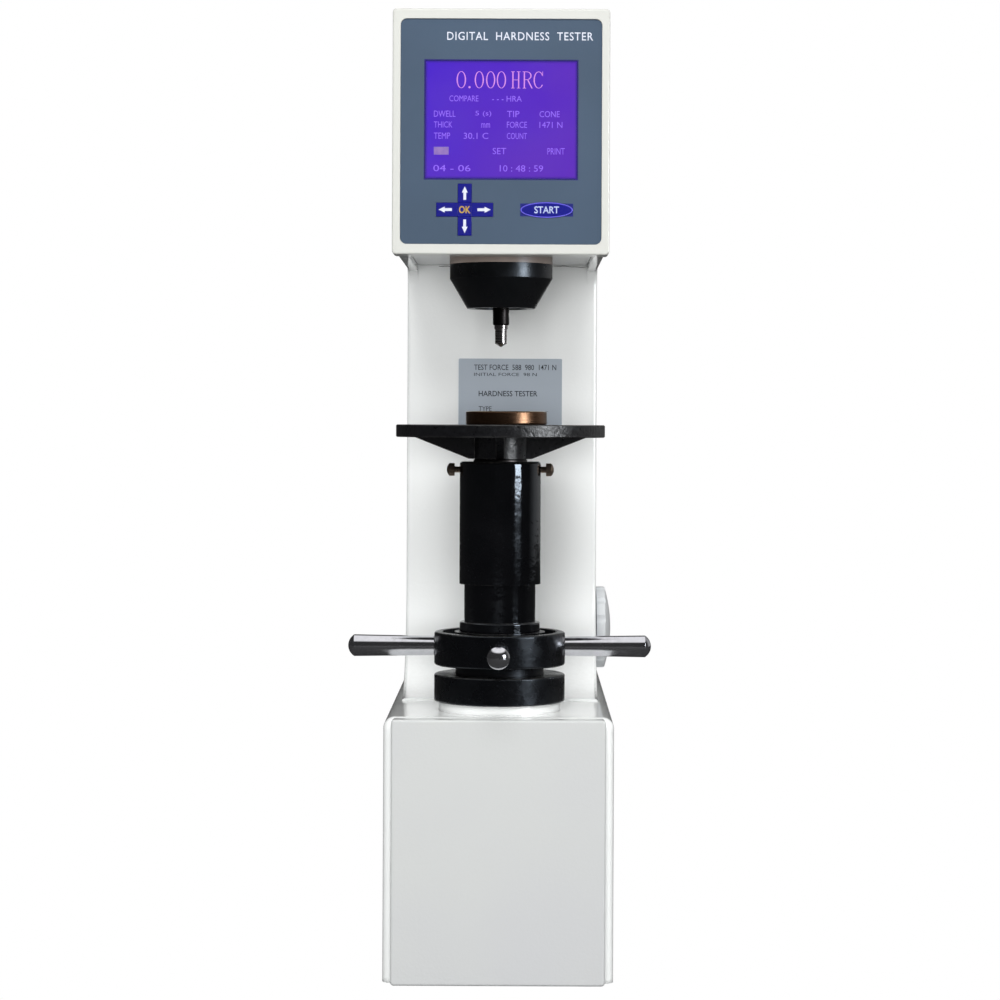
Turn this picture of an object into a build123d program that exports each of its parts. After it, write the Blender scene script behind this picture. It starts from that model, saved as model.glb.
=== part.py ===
from build123d import *
import os
from math import asin, cos, radians, sin, sqrt, tan

# Bench indentation hardness tester with a dead-weight lever, in millimetres.
# The origin is on the spindle axis at bench level: +X right, +Y towards the column, +Z up.

# ---------------------------------------------------------------- driving dimensions
running = 0.05              # radial clearance of a shaft, pin or key that runs in its seat
gap = 0.3                   # clearance left between pieces that must not touch
panel_gap = 0.2             # joint round a key, window or cover

# Castings
casting_wall = 10.0
casting_rear = 428.0
base_width = 184.0
base_height = 211.0
base_front = -66.0
base_edge_radius = 8.0
boss_radius = 50.0
boss_height = 7.2
throat = 154.0              # spindle axis to the face of the column
throat_height = 374.0       # base deck to the underside of the head
head_height = 180.0
column_width = 166.0
column_edge_radius = 3.0
foot_radius = 91.0
foot_edge = 2.0
head_front = -50.0
head_floor = 14.0
lip_drop = 6.5
lip_width = 9.0
throat_radius = 12.0
spindle_boss_radius = 34.0
spindle_boss_height = 26.0
rear_window_width = 140.0
rear_window_margin = 16.0

# Base front cover
cover_width = 170.0
cover_drop = 0.5
cover_depth = 12.0
cover_sheet = 2.0
cover_edge_radius = 3.0

# Head front
bezel_width = 172.0
bezel_drop = 6.5            # bezel below the head's underside
bezel_rise = 8.0            # bezel above the head's casting
bezel_front = -78.0
bezel_wall = 5.0
bezel_face = 6.0
bezel_edge_radius = 3.0
panel_width = 159.0
panel_margin = 8.25         # panel to the bezel's upper and lower edges
panel_corner_radius = 5.0
panel_thickness = 2.0
panel_recess = 1.2
window_width = 120.3
window_height = 93.5
window_rise = 51.65         # panel's lower edge to the window
window_recess = 0.3
lcd_width = 136.0
lcd_height = 106.0
lcd_depth = 9.0
board_thickness = 1.6
board_margin = 1.0
pillar_radius = 3.0
pillar_height = 11.0
pillar_clear = 2.0
chip_height = 4.0
processor_size = 26.0
processor_x = -20.0
processor_rise = 14.0
memory_width = 12.0
memory_length = 20.0
memory_x = 26.0
memory_rise = 22.0
header_width = 54.0
header_depth = 8.0
header_drop = 36.0

# Keys
pad_x = -28.5
pad_rise = 27.15            # panel's lower edge to the middle of the keys
pad_bar = 11.0
pad_reach = 20.5
pad_reach_side = 22.5
start_x = 36.3
start_width = 41.6
start_height = 12.5
key_proud = 0.4
key_depth = 4.6
key_travel = 0.5
key_board_margin = 9.0

# Top and rear covers
top_cover_height = 8.0
sheet = 2.0
vent_length = 44.0
vent_width = 4.0
vent_pitch = 10.0
vent_count = 6
vent_columns = 2
screw_head_radius = 4.0
screw_head_height = 2.4
screw_head_round = 0.8
screw_cross_length = 4.6
screw_cross_width = 0.9
screw_cross_depth = 1.1
screw_inset = 5.0
panel_round = 4.0
ports_z = 62.0
entry_height = 29.0
entry_margin = 5.0          # flange past the socket and the rocker
entry_lip = 3.0             # flange past its cut-out in the cover
entry_round = 3.0
flange_thickness = 2.5
socket_x = -46.0
socket_width = 25.0
socket_height = 17.0
socket_depth = 16.0
socket_back = 3.0
pin_width = 2.0
pin_height = 4.0
pin_spread = 7.0
earth_pin_rise = 4.0
live_pin_drop = 3.0
pin_short = 3.0             # pins end this far inside the socket's mouth
fuse_width = 8.0
fuse_height = 18.0
rocker_x = -4.0
rocker_width = 12.0
rocker_height = 19.0
rocker_tilt = 8.0
rocker_depth = 6.0          # trunnion axis behind the cover
rocker_root = 4.0
rocker_crest = 9.4
rocker_valley = 8.2
trunnion_radius = 1.5
trunnion_length = 0.7
port_x = 44.0
port_width = 31.0
port_height = 12.5
port_ear = 6.0              # flange past the connector's body at each side
port_lip = 1.5
port_flange = 1.0
shell_width = 18.0
shell_height = 8.5
shell_slant = 80.0
shell_depth = 5.0
shell_wall = 0.6
shell_round = 1.2
port_body = 10.0
contact_radius = 0.5
contact_pitch = 2.75
contact_row = 2.8
contact_length = 3.6
supply_rear = 103.0         # middle of the power supply to the casting's rear
supply_width = 140.0
supply_depth = 108.0
core_width = 56.0
core_depth = 40.0
core_height = 56.0
coil_width = 36.0
coil_depth = 66.0
coil_height = 32.0
coil_round = 8.0
supply_board_width = 60.0
supply_board_depth = 94.0
supply_board_margin = 5.0
standoff_height = 8.0
capacitor_radius = 9.0
capacitor_height = 22.0
capacitor_spread = 13.0
capacitor_offset = 28.0
heat_sink_width = 46.0
heat_sink_depth = 14.0
heat_sink_offset = 18.0

# Data plate on the column
plate_x = 7.2
plate_width = 90.5
plate_height = 62.0
plate_drop = 83.2           # head's underside to the plate's upper edge
plate_thickness = 0.8

# Spindle, its cover and the indenter
ring_radius = 42.0
ring_height = 7.6
chuck_straight = 14.2
chuck_cone = 24.3
chuck_end_radius = 27.8
chuck_wall = 4.0
chuck_recess = 1.2
chuck_recess_margin = 6.0
underplate_thickness = 1.5
bush_wall = 7.0
spindle_radius = 13.0
shoulder_drop = 29.0        # head's underside to the spindle's shoulder
nose_radius = 6.7
nose_drop = 59.6            # head's underside to the end of the nose
collar_radius = 17.0
collar_height = 5.0
stem_radius = 7.0
spindle_lift = 0.5
gauge_pin_radius = 2.0
indenter_collar_radius = 5.5
indenter_collar_height = 3.2
indenter_radius = 4.85
indenter_reach = 15.1       # end of the nose to the foot of the cone
indenter_shank_radius = 3.2
indenter_shank_length = 16.0
cone_angle = 120.0
clamp_screw_radius = 2.0
clamp_screw_rise = 8.6
clamp_flat = 0.6
clamp_flat_height = 6.0
clamp_slot_width = 0.6
clamp_slot_depth = 1.2
spring_wire = 2.4
spring_turns = 5
housing_radius = 24.0
housing_wall = 6.0
housing_height = 42.0
cap_height = 8.0
spanner_hole_radius = 2.0
spanner_hole_depth = 4.0

# Main lever and its bridge
fulcrum_arm = 18.0          # spindle axis to fulcrum
lever_ratio = 20.0          # hanger arm over fulcrum arm
lever_half_width = 12.0
lever_rise = 95.0           # head's underside to the lever
lever_depth = 26.0
lever_nose_depth = 32.0
lever_nose_length = 60.0    # deep part of the lever behind the spindle
lever_nose_slope = 30.0
lever_overhang = 18.0
lever_tail_lift = 10.0
lever_front_margin = 12.0
lever_slot_y = 172.5        # middle of the two lightening slots
lever_slot_pitch = 75.0
lever_slot_length = 56.0
lever_slot_width = 12.0
fulcrum_rise = 20.0         # lever's lower edge to the fulcrum's edge
contact_drop = 3.0          # lever's lower edge to the spindle's knife
contact_half_width = 5.0
knife_half_width = 6.0
knife_height = 10.0
knife_reach = 26.0
seat_side_gap = 3.0
bridge_depth = 36.0
bridge_half_width = 39.0
bridge_post = 12.0
beam_clear = 15.0
bridge_beam = 12.0
gauge_size = 30.0
gauge_offset = -2.0
gauge_clear = 4.0           # gauge to the underside of the head's cover

# Hanger and weights
hanger_strap = 4.0
hanger_half_depth = 10.0
hanger_block = 9.0
hanger_vee = 5.0
hanger_rod_radius = 6.0
stirrup_clear = 2.0         # lever's side to the hanger's strap
stirrup_margin = 12.0
stirrup_drop = 10.0
tray_rise = 11.0            # base deck to the tray
tray_radius = 30.0
tray_thickness = 6.0
weight_radius = 58.0
weight_heights = (34.0, 22.0, 18.0)
weight_chamfer = 1.5
lug_radius = 4.0
lug_reach = 67.0
lug_offset = 20.0

# Loading drive
cam_y = 250.0
cam_rise = 209.0            # base deck to the cam's shaft
cam_radius = 16.0
cam_throw = 2.34
cam_width = 12.0
cam_shaft_radius = 6.0
lift_rod_radius = 6.0
lift_rod_foot = 8.0
rod_guide_drop = 25.0       # head's underside to the rod's guide
rod_guide_radius = 15.0
gearbox_width = 44.0
gearbox_depth = 56.0
gearbox_height = 60.0
motor_radius = 22.0
motor_length = 84.0
bracket_plate = 6.0
bracket_margin = 8.0
bracket_tail = 12.0
bracket_head = 20.0

# Force selector
selector_y = 222.0
selector_rise = 51.0        # base deck to the selector's shaft
selector_shaft_radius = 8.0
selector_cam_radius = 16.0
selector_cam_throw = 6.0
selector_cam_x = 30.0
selector_cam_width = 8.0
selector_bearing = 13.0
knob_radius = 36.3
knob_skirt = 8.2
knob_dome = 5.0
knob_round = 2.0
scallop_count = 12
scallop_radius = 6.0
scallop_offset = 4.5
pointer_width = 2.4
pointer_depth = 0.6
dial_radius = 40.0
dial_thickness = 1.0
dial_gap = 0.8
fork_plate = 6.0
fork_half_width = 69.0
fork_half_depth = 12.0
fork_arm_offset = 32.0
fork_tail = 30.0
fork_bar = 8.0
fork_rest_width = 7.0
fork_rest_length = 10.0
fork_drop = 16.0            # fork below the lugs it would lift
guide_pin_radius = 5.0
guide_pin_x = 46.0
fork_travel_room = 20.0

# Elevating screw, nut and capstan
screw_outer_radius = 22.0
screw_length = 316.0
screw_proud = 2.0           # screw above the outer sleeve
keyway_width = 8.0
keyway_depth = 4.0
nut_tail_radius = 28.0
nut_tail_drop = 11.0        # base deck to the end of the nut's tail
seat_radius = 53.5
seat_height = 22.2
seat_round = 1.5
bearing_recess = 10.2
bearing_radius = 37.0
washer_thickness = 3.0
ball_count = 12
neck_radius = 36.35
neck_height = 7.3
capstan_radius = 53.5
capstan_bore = 31.0
capstan_height = 27.1
capstan_round = 2.0
groove_inner = 37.0
groove_outer = 47.0
groove_depth = 4.5
bar_count = 4
bar_rise = 15.2             # capstan's lower face to the bars' axis
bar_reach = 124.0
bar_root_radius = 6.0
bar_root_start = 41.0
bar_neck_radius = 7.9
bar_end_radius = 8.9
bar_dome = 5.0
inner_sleeve_radius = 29.35
inner_sleeve_wall = 3.35
inner_sleeve_height = 85.0
flange_radius = 33.0
flange_height = 8.2
flange_round = 1.5
sleeve_overlap = 54.0
outer_sleeve_radius = 33.4
outer_sleeve_wall = 3.4
outer_sleeve_height = 100.0
outer_sleeve_collar = 14.0
outer_sleeve_round = 2.5
thumb_screw_drop = 6.8
thumb_shank_radius = 2.5
thumb_neck = 4.0
thumb_head_radius = 5.0
thumb_head_length = 6.5
thumb_dome = 2.0
guide_height = 14.0
guide_radius = 42.0

# Table and test block
table_radius = 85.5
table_thickness = 10.2
table_rise = 27.9           # screw's end to the table's face
table_chamfer = 0.8
hub_radius = 21.3
stem_radius_table = 12.5
stem_length = 30.0
rib_thickness = 6.5
rib_outer = 70.5
rib_inner = 25.7
rib_root = 4.0              # rib's start inside the hub
block_radius = 33.25
block_height = 11.1
block_x = 4.7
block_edge = 1.6

# ---------------------------------------------------------------- derived places
base_length = casting_rear - base_front
base_centre_y = (casting_rear + base_front) / 2
head_underside = base_height + throat_height
casting_top = head_underside + head_height
cover_height = base_height - cover_drop
inside_half = column_width / 2 - casting_wall
foot_toe = throat - foot_radius
foot_top = base_height + foot_edge + foot_radius
seat_z = base_height + boss_height
neck_z = seat_z + seat_height
capstan_z = neck_z + neck_height
capstan_top = capstan_z + capstan_height
bar_z = capstan_z + bar_rise
nut_bottom = base_height - nut_tail_drop
flange_top = capstan_top + flange_height
inner_sleeve_top = flange_top + inner_sleeve_height
outer_sleeve_bottom = inner_sleeve_top - sleeve_overlap
outer_sleeve_top = outer_sleeve_bottom + outer_sleeve_height
thumb_screw_z = outer_sleeve_top - thumb_screw_drop
screw_top = outer_sleeve_top + screw_proud
screw_bottom = screw_top - screw_length
table_top = screw_top + table_rise
bezel_bottom = head_underside - bezel_drop
bezel_top = casting_top + bezel_rise
panel_bottom = bezel_bottom + panel_margin
panel_height = bezel_top - bezel_bottom - 2 * panel_margin
window_bottom = panel_bottom + window_rise
pad_z = panel_bottom + pad_rise
panel_front = bezel_front + panel_recess
panel_back = panel_front + panel_thickness
bezel_back = bezel_front + bezel_face
bezel_mid_z = (bezel_bottom + bezel_top) / 2
window_mid_z = window_bottom + window_height / 2
pillar_back = bezel_back + pillar_height
pillar_x = lcd_width / 2 + pillar_radius + pillar_clear
pillar_z = lcd_height / 2 + pillar_radius + pillar_clear
bush_radius = spindle_radius + bush_wall
floor_z = head_underside + head_floor
bush_top = floor_z + spindle_boss_height
collar_z = bush_top + gap
spring_low = collar_z + collar_height
housing_top = bush_top + housing_height
spring_high = housing_top - cap_height
spindle_shoulder = head_underside - shoulder_drop
nose_bottom = head_underside - nose_drop
indenter_shoulder = nose_bottom - indenter_reach
clamp_screw_z = nose_bottom + clamp_screw_rise
hanger_y = fulcrum_arm * (lever_ratio - 1)
lever_bottom = head_underside + lever_rise
lever_top = lever_bottom + lever_depth
lever_nose_top = lever_bottom + lever_nose_depth
fulcrum_z = lever_bottom + fulcrum_rise
contact_z = lever_bottom - contact_drop
stem_top = contact_z - 3 * gap
bridge_beam_z = lever_nose_top + beam_clear
gauge_z = bridge_beam_z + bridge_beam
gauge_height = casting_top - gauge_clear - gauge_z
tray_z = base_height + tray_rise
weights_z = tray_z + tray_thickness
cam_z = base_height + cam_rise
rod_guide_z = head_underside - rod_guide_drop
selector_z = base_height + selector_rise
shoulder_radius = (base_width - column_width) / 2
side_x = column_width / 2
rear_panel_y = casting_rear + sheet
supply_y = casting_rear - supply_rear
fuse_x = (socket_x + socket_width / 2 + rocker_x - rocker_width / 2) / 2
entry_width = rocker_x + rocker_width / 2 - (socket_x - socket_width / 2) + 2 * entry_margin
entry_x = (rocker_x + rocker_width / 2 + socket_x - socket_width / 2) / 2
rocker_y = rear_panel_y - rocker_depth
plate_top = head_underside - plate_drop
fork_z = selector_z - selector_cam_throw + selector_cam_radius + gap
fork_arm_y = selector_y + fork_arm_offset

os.makedirs("parts", exist_ok=True)


def dome_point(tip, radius, height):
    """Point halfway along a spherical cap: place along the axis, and distance from it.

    The cap's rim has the given radius and lies the given height before its tip.
    """
    sphere = (radius**2 + height**2) / (2 * height)
    half = asin(radius / sphere) / 2
    return tip - sphere * (1 - cos(half)), sphere * sin(half)


# ---------------------------------------------------------------- base casting
with BuildPart() as base_casting:
    with BuildSketch(Plane.XY):
        with Locations((0, base_centre_y)):
            Rectangle(base_width, base_length)
    extrude(amount=base_height)
    fillet(base_casting.edges().filter_by(Axis.Z).group_by(Axis.Y)[0], base_edge_radius)
    fillet(base_casting.edges().filter_by(Axis.Y).group_by(Axis.Z)[-1], shoulder_radius)
    # The inside, between the floor and the top plate that carries the screw.
    with BuildSketch(Plane.XY.offset(casting_wall)):
        with Locations((0, base_centre_y)):
            Rectangle(base_width - 2 * casting_wall, base_length - 2 * casting_wall)
    extrude(amount=base_height - casting_wall - head_floor, mode=Mode.SUBTRACT)
    with BuildSketch(Plane.XZ.offset(-casting_rear + casting_wall / 2)):
        with Locations((0, (casting_wall + base_height - head_floor) / 2)):
            Rectangle(
                rear_window_width,
                base_height - casting_wall - head_floor - 2 * rear_window_margin,
            )
    extrude(amount=casting_wall, both=True, mode=Mode.SUBTRACT)
    # Round seat for the screw's bearing, bored for the nut's tail.
    with BuildSketch(Plane.XY.offset(base_height)):
        Circle(boss_radius)
    extrude(amount=boss_height)
    with BuildSketch(Plane.XY.offset(base_height - head_floor)):
        Circle(nut_tail_radius + 2)
    extrude(amount=head_floor + boss_height, mode=Mode.SUBTRACT)
    # Two upright pins that guide the weight fork.
    with BuildSketch(Plane.XY.offset(base_height)):
        with Locations((-guide_pin_x, fork_arm_y), (guide_pin_x, fork_arm_y)):
            Circle(guide_pin_radius)
    extrude(amount=fork_z + fork_plate + fork_travel_room - base_height)
base_casting.part.label = "base_casting"
export_step(base_casting.part, "parts/base_casting.step")

# ---------------------------------------------------------------- column and head casting
foot_mid = (
    foot_toe + foot_radius * sin(radians(45)),
    foot_top - foot_radius * cos(radians(45)),
)
inner_foot_radius = foot_radius + casting_wall
inner_foot_drop = foot_top - base_height
inner_foot_y = foot_toe + sqrt(inner_foot_radius**2 - inner_foot_drop**2)
inner_foot_angle = radians(30)
inner_foot_mid = (
    foot_toe + inner_foot_radius * cos(inner_foot_angle),
    foot_top - inner_foot_radius * sin(inner_foot_angle),
)
lip_z = head_underside - lip_drop

with BuildPart() as column_casting:
    with BuildSketch(Plane.YZ):
        with BuildLine():
            Line((foot_toe, base_height), (foot_toe, base_height + foot_edge))
            ThreePointArc((foot_toe, base_height + foot_edge), foot_mid, (throat, foot_top))
            Polyline(
                (throat, foot_top),
                (throat, head_underside),
                (head_front, head_underside),
                (head_front, casting_top),
                (casting_rear, casting_top),
                (casting_rear, base_height),
                (foot_toe, base_height),
            )
        make_face()
    extrude(amount=side_x, both=True)
    # Side walls of the head run on below its floor and sweep into the column.
    with BuildSketch(Plane.YZ.offset(side_x - lip_width)) as lip_profile:
        with BuildLine():
            Polyline(
                (throat + casting_wall, lip_z - throat_radius),
                (throat + casting_wall, head_underside),
                (head_front, head_underside),
                (head_front, lip_z),
                (throat - throat_radius, lip_z),
            )
            ThreePointArc(
                (throat - throat_radius, lip_z),
                (
                    throat - throat_radius * (1 - sin(radians(45))),
                    lip_z - throat_radius * (1 - cos(radians(45))),
                ),
                (throat, lip_z - throat_radius),
            )
            Line((throat, lip_z - throat_radius), (throat + casting_wall, lip_z - throat_radius))
        make_face()
    extrude(amount=lip_width)
    mirror(about=Plane.YZ)
    outer_edges = column_casting.faces().filter_by(Axis.X).group_by(Axis.X)
    rim = outer_edges[0].edges() + outer_edges[-1].edges()
    fillet(
        rim.filter_by(lambda e: e.center().Y < throat + 1 and lip_z + 1 > e.center().Z > base_height + 5),
        column_edge_radius,
    )
    # The inside, open below, above and behind.
    with BuildSketch(Plane.YZ):
        with BuildLine():
            ThreePointArc((inner_foot_y, base_height), inner_foot_mid, (throat + casting_wall, foot_top))
            Polyline(
                (throat + casting_wall, foot_top),
                (throat + casting_wall, floor_z),
                (head_front + casting_wall, floor_z),
                (head_front + casting_wall, casting_top),
                (casting_rear - casting_wall, casting_top),
                (casting_rear - casting_wall, base_height),
                (inner_foot_y, base_height),
            )
        make_face()
    extrude(amount=inside_half, both=True, mode=Mode.SUBTRACT)
    # Rear service window and the window behind the display.
    with BuildSketch(Plane.XZ.offset(-casting_rear + casting_wall / 2)):
        with Locations((0, (base_height + casting_top) / 2)):
            Rectangle(rear_window_width, casting_top - base_height - 4 * rear_window_margin)
    extrude(amount=casting_wall, both=True, mode=Mode.SUBTRACT)
    with BuildSketch(Plane.XZ.offset(-head_front - casting_wall / 2)):
        with Locations((0, (floor_z + casting_top) / 2)):
            Rectangle(rear_window_width, casting_top - floor_z - 2 * rear_window_margin)
    extrude(amount=casting_wall, both=True, mode=Mode.SUBTRACT)
    # Boss and bore of the spindle bush.
    with BuildSketch(Plane.XY.offset(floor_z)):
        Circle(spindle_boss_radius)
    extrude(amount=spindle_boss_height)
    with BuildSketch(Plane.XY.offset(head_underside)):
        Circle(bush_radius)
    extrude(amount=head_floor + spindle_boss_height, mode=Mode.SUBTRACT)
    # Bearings of the force selector: one in the right wall, one on a boss of the left wall.
    with BuildSketch(Plane.YZ.offset(-inside_half)):
        with Locations((selector_y, selector_z)):
            Circle(selector_shaft_radius + casting_wall / 2)
    extrude(amount=selector_bearing)
    with BuildSketch(Plane.YZ.offset(-inside_half + 1)):
        with Locations((selector_y, selector_z)):
            Circle(selector_shaft_radius + running)
    extrude(amount=column_width, mode=Mode.SUBTRACT)
column_casting.part.label = "column_casting"
export_step(column_casting.part, "parts/column_casting.step")

# ---------------------------------------------------------------- base front cover
with BuildPart() as base_front_cover:
    with BuildSketch(Plane.XZ.offset(-base_front)):
        with Locations((0, cover_height / 2)):
            Rectangle(cover_width, cover_height)
    extrude(amount=cover_depth)
    fillet(base_front_cover.edges().filter_by(Axis.Y), cover_edge_radius)
    fillet(base_front_cover.faces().sort_by(Axis.Y)[0].edges(), cover_edge_radius - 1)
    with BuildSketch(Plane.XZ.offset(-base_front)):
        with Locations((0, cover_height / 2)):
            Rectangle(cover_width - 2 * cover_sheet, cover_height - 2 * cover_sheet)
    extrude(amount=cover_depth - cover_sheet, mode=Mode.SUBTRACT)
base_front_cover.part.label = "base_front_cover"
export_step(base_front_cover.part, "parts/base_front_cover.step")

# ---------------------------------------------------------------- head front: bezel, panel, display, keys
with BuildPart() as head_bezel:
    with BuildSketch(Plane.XZ.offset(-head_front)):
        with Locations((0, bezel_mid_z)):
            Rectangle(bezel_width, bezel_top - bezel_bottom)
    extrude(amount=head_front - bezel_front)
    fillet(head_bezel.edges().filter_by(Axis.Y), bezel_edge_radius)
    fillet(head_bezel.faces().sort_by(Axis.Y)[0].edges(), bezel_edge_radius / 2)
    with BuildSketch(Plane.XZ.offset(-head_front)):
        with Locations((0, bezel_mid_z)):
            Rectangle(bezel_width - 2 * bezel_wall, bezel_top - bezel_bottom - 2 * bezel_wall)
    extrude(amount=head_front - bezel_back, mode=Mode.SUBTRACT)
    # Pocket that the panel lies in, then the openings behind it.
    with BuildSketch(Plane.XZ.offset(-bezel_front)):
        with Locations((0, panel_bottom + panel_height / 2)):
            RectangleRounded(
                panel_width + 2 * panel_gap, panel_height + 2 * panel_gap, panel_corner_radius + panel_gap
            )
    extrude(amount=-(panel_back - bezel_front), mode=Mode.SUBTRACT)
    with BuildSketch(Plane.XZ.offset(-bezel_back)) as panel_openings:
        with Locations((0, window_mid_z)):
            Rectangle(window_width + 2 * panel_gap, window_height + 2 * panel_gap)
        with Locations((pad_x, pad_z)):
            Rectangle(pad_bar + 2 * panel_gap, 2 * (pad_reach + panel_gap))
            Rectangle(2 * (pad_reach_side + panel_gap), pad_bar + 2 * panel_gap)
        with Locations((start_x, pad_z)):
            Ellipse(start_width / 2 + panel_gap, start_height / 2 + panel_gap)
    extrude(amount=bezel_back - panel_back, mode=Mode.SUBTRACT)
    # Hexagonal pillars that carry the control board.
    with BuildSketch(Plane.XZ.offset(-bezel_back)):
        with Locations((0, window_mid_z)):
            with GridLocations(2 * pillar_x, 2 * pillar_z, 2, 2):
                RegularPolygon(pillar_radius, 6)
    extrude(amount=-pillar_height)
head_bezel.part.label = "head_bezel"
export_step(head_bezel.part, "parts/head_bezel.step")

with BuildPart() as front_panel:
    with BuildSketch(Plane.XZ.offset(-panel_back)):
        with Locations((0, panel_bottom + panel_height / 2)):
            RectangleRounded(panel_width, panel_height, panel_corner_radius)
        with Locations((0, window_mid_z)):
            Rectangle(window_width + 2 * panel_gap, window_height + 2 * panel_gap, mode=Mode.SUBTRACT)
        with Locations((pad_x, pad_z)):
            Rectangle(pad_bar + 2 * panel_gap, 2 * (pad_reach + panel_gap), mode=Mode.SUBTRACT)
            Rectangle(2 * (pad_reach_side + panel_gap), pad_bar + 2 * panel_gap, mode=Mode.SUBTRACT)
        with Locations((start_x, pad_z)):
            Ellipse(start_width / 2 + panel_gap, start_height / 2 + panel_gap, mode=Mode.SUBTRACT)
    extrude(amount=panel_thickness)
front_panel.part.label = "front_panel"
export_step(front_panel.part, "parts/front_panel.step")

with BuildPart() as lcd_module:
    with BuildSketch(Plane.XZ.offset(-bezel_back)):
        with Locations((0, window_mid_z)):
            Rectangle(lcd_width, lcd_height)
    extrude(amount=-lcd_depth)
    fillet(lcd_module.edges().filter_by(Axis.Y), panel_corner_radius - bezel_edge_radius)
    # Cover glass, standing through the panel's window.
    with BuildSketch(Plane.XZ.offset(-bezel_back)):
        with Locations((0, window_mid_z)):
            Rectangle(window_width, window_height)
    extrude(amount=bezel_back - panel_front - window_recess)
lcd_module.part.label = "lcd_module"
export_step(lcd_module.part, "parts/lcd_module.step")

with BuildPart() as control_board:
    with BuildSketch(Plane.XZ.offset(-pillar_back)):
        with Locations((0, window_mid_z)):
            Rectangle(
                2 * (pillar_x + pillar_radius + board_margin),
                2 * (pillar_z + pillar_radius + board_margin),
            )
    extrude(amount=-board_thickness)
    # Processor, memory and the header for the cables.
    with BuildSketch(Plane.XZ.offset(-pillar_back - board_thickness)):
        with Locations((processor_x, window_mid_z + processor_rise)):
            Rectangle(processor_size, processor_size)
        with Locations((memory_x, window_mid_z + memory_rise)):
            Rectangle(memory_width, memory_length)
        with Locations((0, window_mid_z - header_drop)):
            Rectangle(header_width, header_depth)
    extrude(amount=-chip_height)
control_board.part.label = "control_board"
export_step(control_board.part, "parts/control_board.step")

key_back = panel_front - key_proud + key_depth
board_low_x = pad_x - pad_reach_side - key_board_margin
board_high_x = start_x + start_width / 2 + key_board_margin
board_low_z = pad_z - pad_reach - gap
board_high_z = window_mid_z - lcd_height / 2 - gap
with BuildPart() as key_board:
    with BuildSketch(Plane.XZ.offset(-bezel_back)):
        with Locations(((board_low_x + board_high_x) / 2, (board_low_z + board_high_z) / 2)):
            Rectangle(board_high_x - board_low_x, board_high_z - board_low_z)
    extrude(amount=-board_thickness)
key_board.part.label = "key_board"
export_step(key_board.part, "parts/key_board.step")

# Keys: a cross of five and the wide start key, each sliding on its own.
key_face = Plane.XZ.offset(-key_back)
arm_gap = panel_gap / 2
arm_height = pad_reach - pad_bar / 2 - arm_gap
arm_width = pad_reach_side - pad_bar / 2 - arm_gap
arm_mid_height = pad_bar / 2 + arm_gap + arm_height / 2
arm_mid_width = pad_bar / 2 + arm_gap + arm_width / 2
key_outlines = {
    "key_up": (pad_x, pad_z + arm_mid_height, pad_bar, arm_height),
    "key_down": (pad_x, pad_z - arm_mid_height, pad_bar, arm_height),
    "key_left": (pad_x - arm_mid_width, pad_z, arm_width, pad_bar),
    "key_right": (pad_x + arm_mid_width, pad_z, arm_width, pad_bar),
    "key_ok": (pad_x, pad_z, pad_bar, pad_bar),
}
for key_name, (key_x, key_z, key_width, key_height) in key_outlines.items():
    with BuildPart() as key:
        with BuildSketch(key_face):
            with Locations((key_x, key_z)):
                Rectangle(key_width, key_height)
        extrude(amount=key_depth)
        fillet(key.faces().sort_by(Axis.Y)[0].edges(), key_proud / 2)
    key.part.label = key_name
    export_step(key.part, f"parts/{key_name}.step")

with BuildPart() as key_start:
    with BuildSketch(key_face):
        with Locations((start_x, pad_z)):
            Ellipse(start_width / 2, start_height / 2)
    extrude(amount=key_depth)
    fillet(key_start.faces().sort_by(Axis.Y)[0].edges(), key_proud / 2)
key_start.part.label = "key_start"
export_step(key_start.part, "parts/key_start.step")

# ---------------------------------------------------------------- covers
with BuildPart() as top_cover:
    with BuildSketch(Plane.XY.offset(casting_top)):
        with Locations((0, (head_front + casting_rear) / 2)):
            Rectangle(column_width, casting_rear - head_front)
    extrude(amount=top_cover_height)
    fillet(top_cover.edges().filter_by(Axis.Z).group_by(Axis.Y)[-1], column_edge_radius)
    fillet(
        top_cover.faces().sort_by(Axis.Z)[-1].edges().filter_by(lambda e: e.center().Y > head_front + 1),
        column_edge_radius,
    )
    with BuildSketch(Plane.XY.offset(casting_top)):
        with Locations((0, (head_front + casting_rear) / 2)):
            Rectangle(column_width - 4 * sheet, casting_rear - head_front - 4 * sheet)
    extrude(amount=top_cover_height - sheet, mode=Mode.SUBTRACT)
top_cover.part.label = "top_cover"
export_step(top_cover.part, "parts/top_cover.step")

rear_plane = Plane.XZ.offset(-rear_panel_y)
column_panel_height = casting_top - base_height - 2 * rear_window_margin
column_panel_z = (base_height + casting_top) / 2
panel_rear_width = rear_window_width + rear_window_margin
with BuildPart() as column_rear_cover:
    with BuildSketch(rear_plane):
        with Locations((0, column_panel_z)):
            RectangleRounded(panel_rear_width, column_panel_height, panel_round)
        with GridLocations(0, column_panel_height / 2, 1, 2):
            with Locations((0, column_panel_z)):
                with GridLocations(vent_length + 3 * vent_width, vent_pitch, vent_columns, vent_count):
                    SlotOverall(vent_length, vent_width, mode=Mode.SUBTRACT)
    extrude(amount=sheet)
column_rear_cover.part.label = "column_rear_cover"
export_step(column_rear_cover.part, "parts/column_rear_cover.step")

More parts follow.
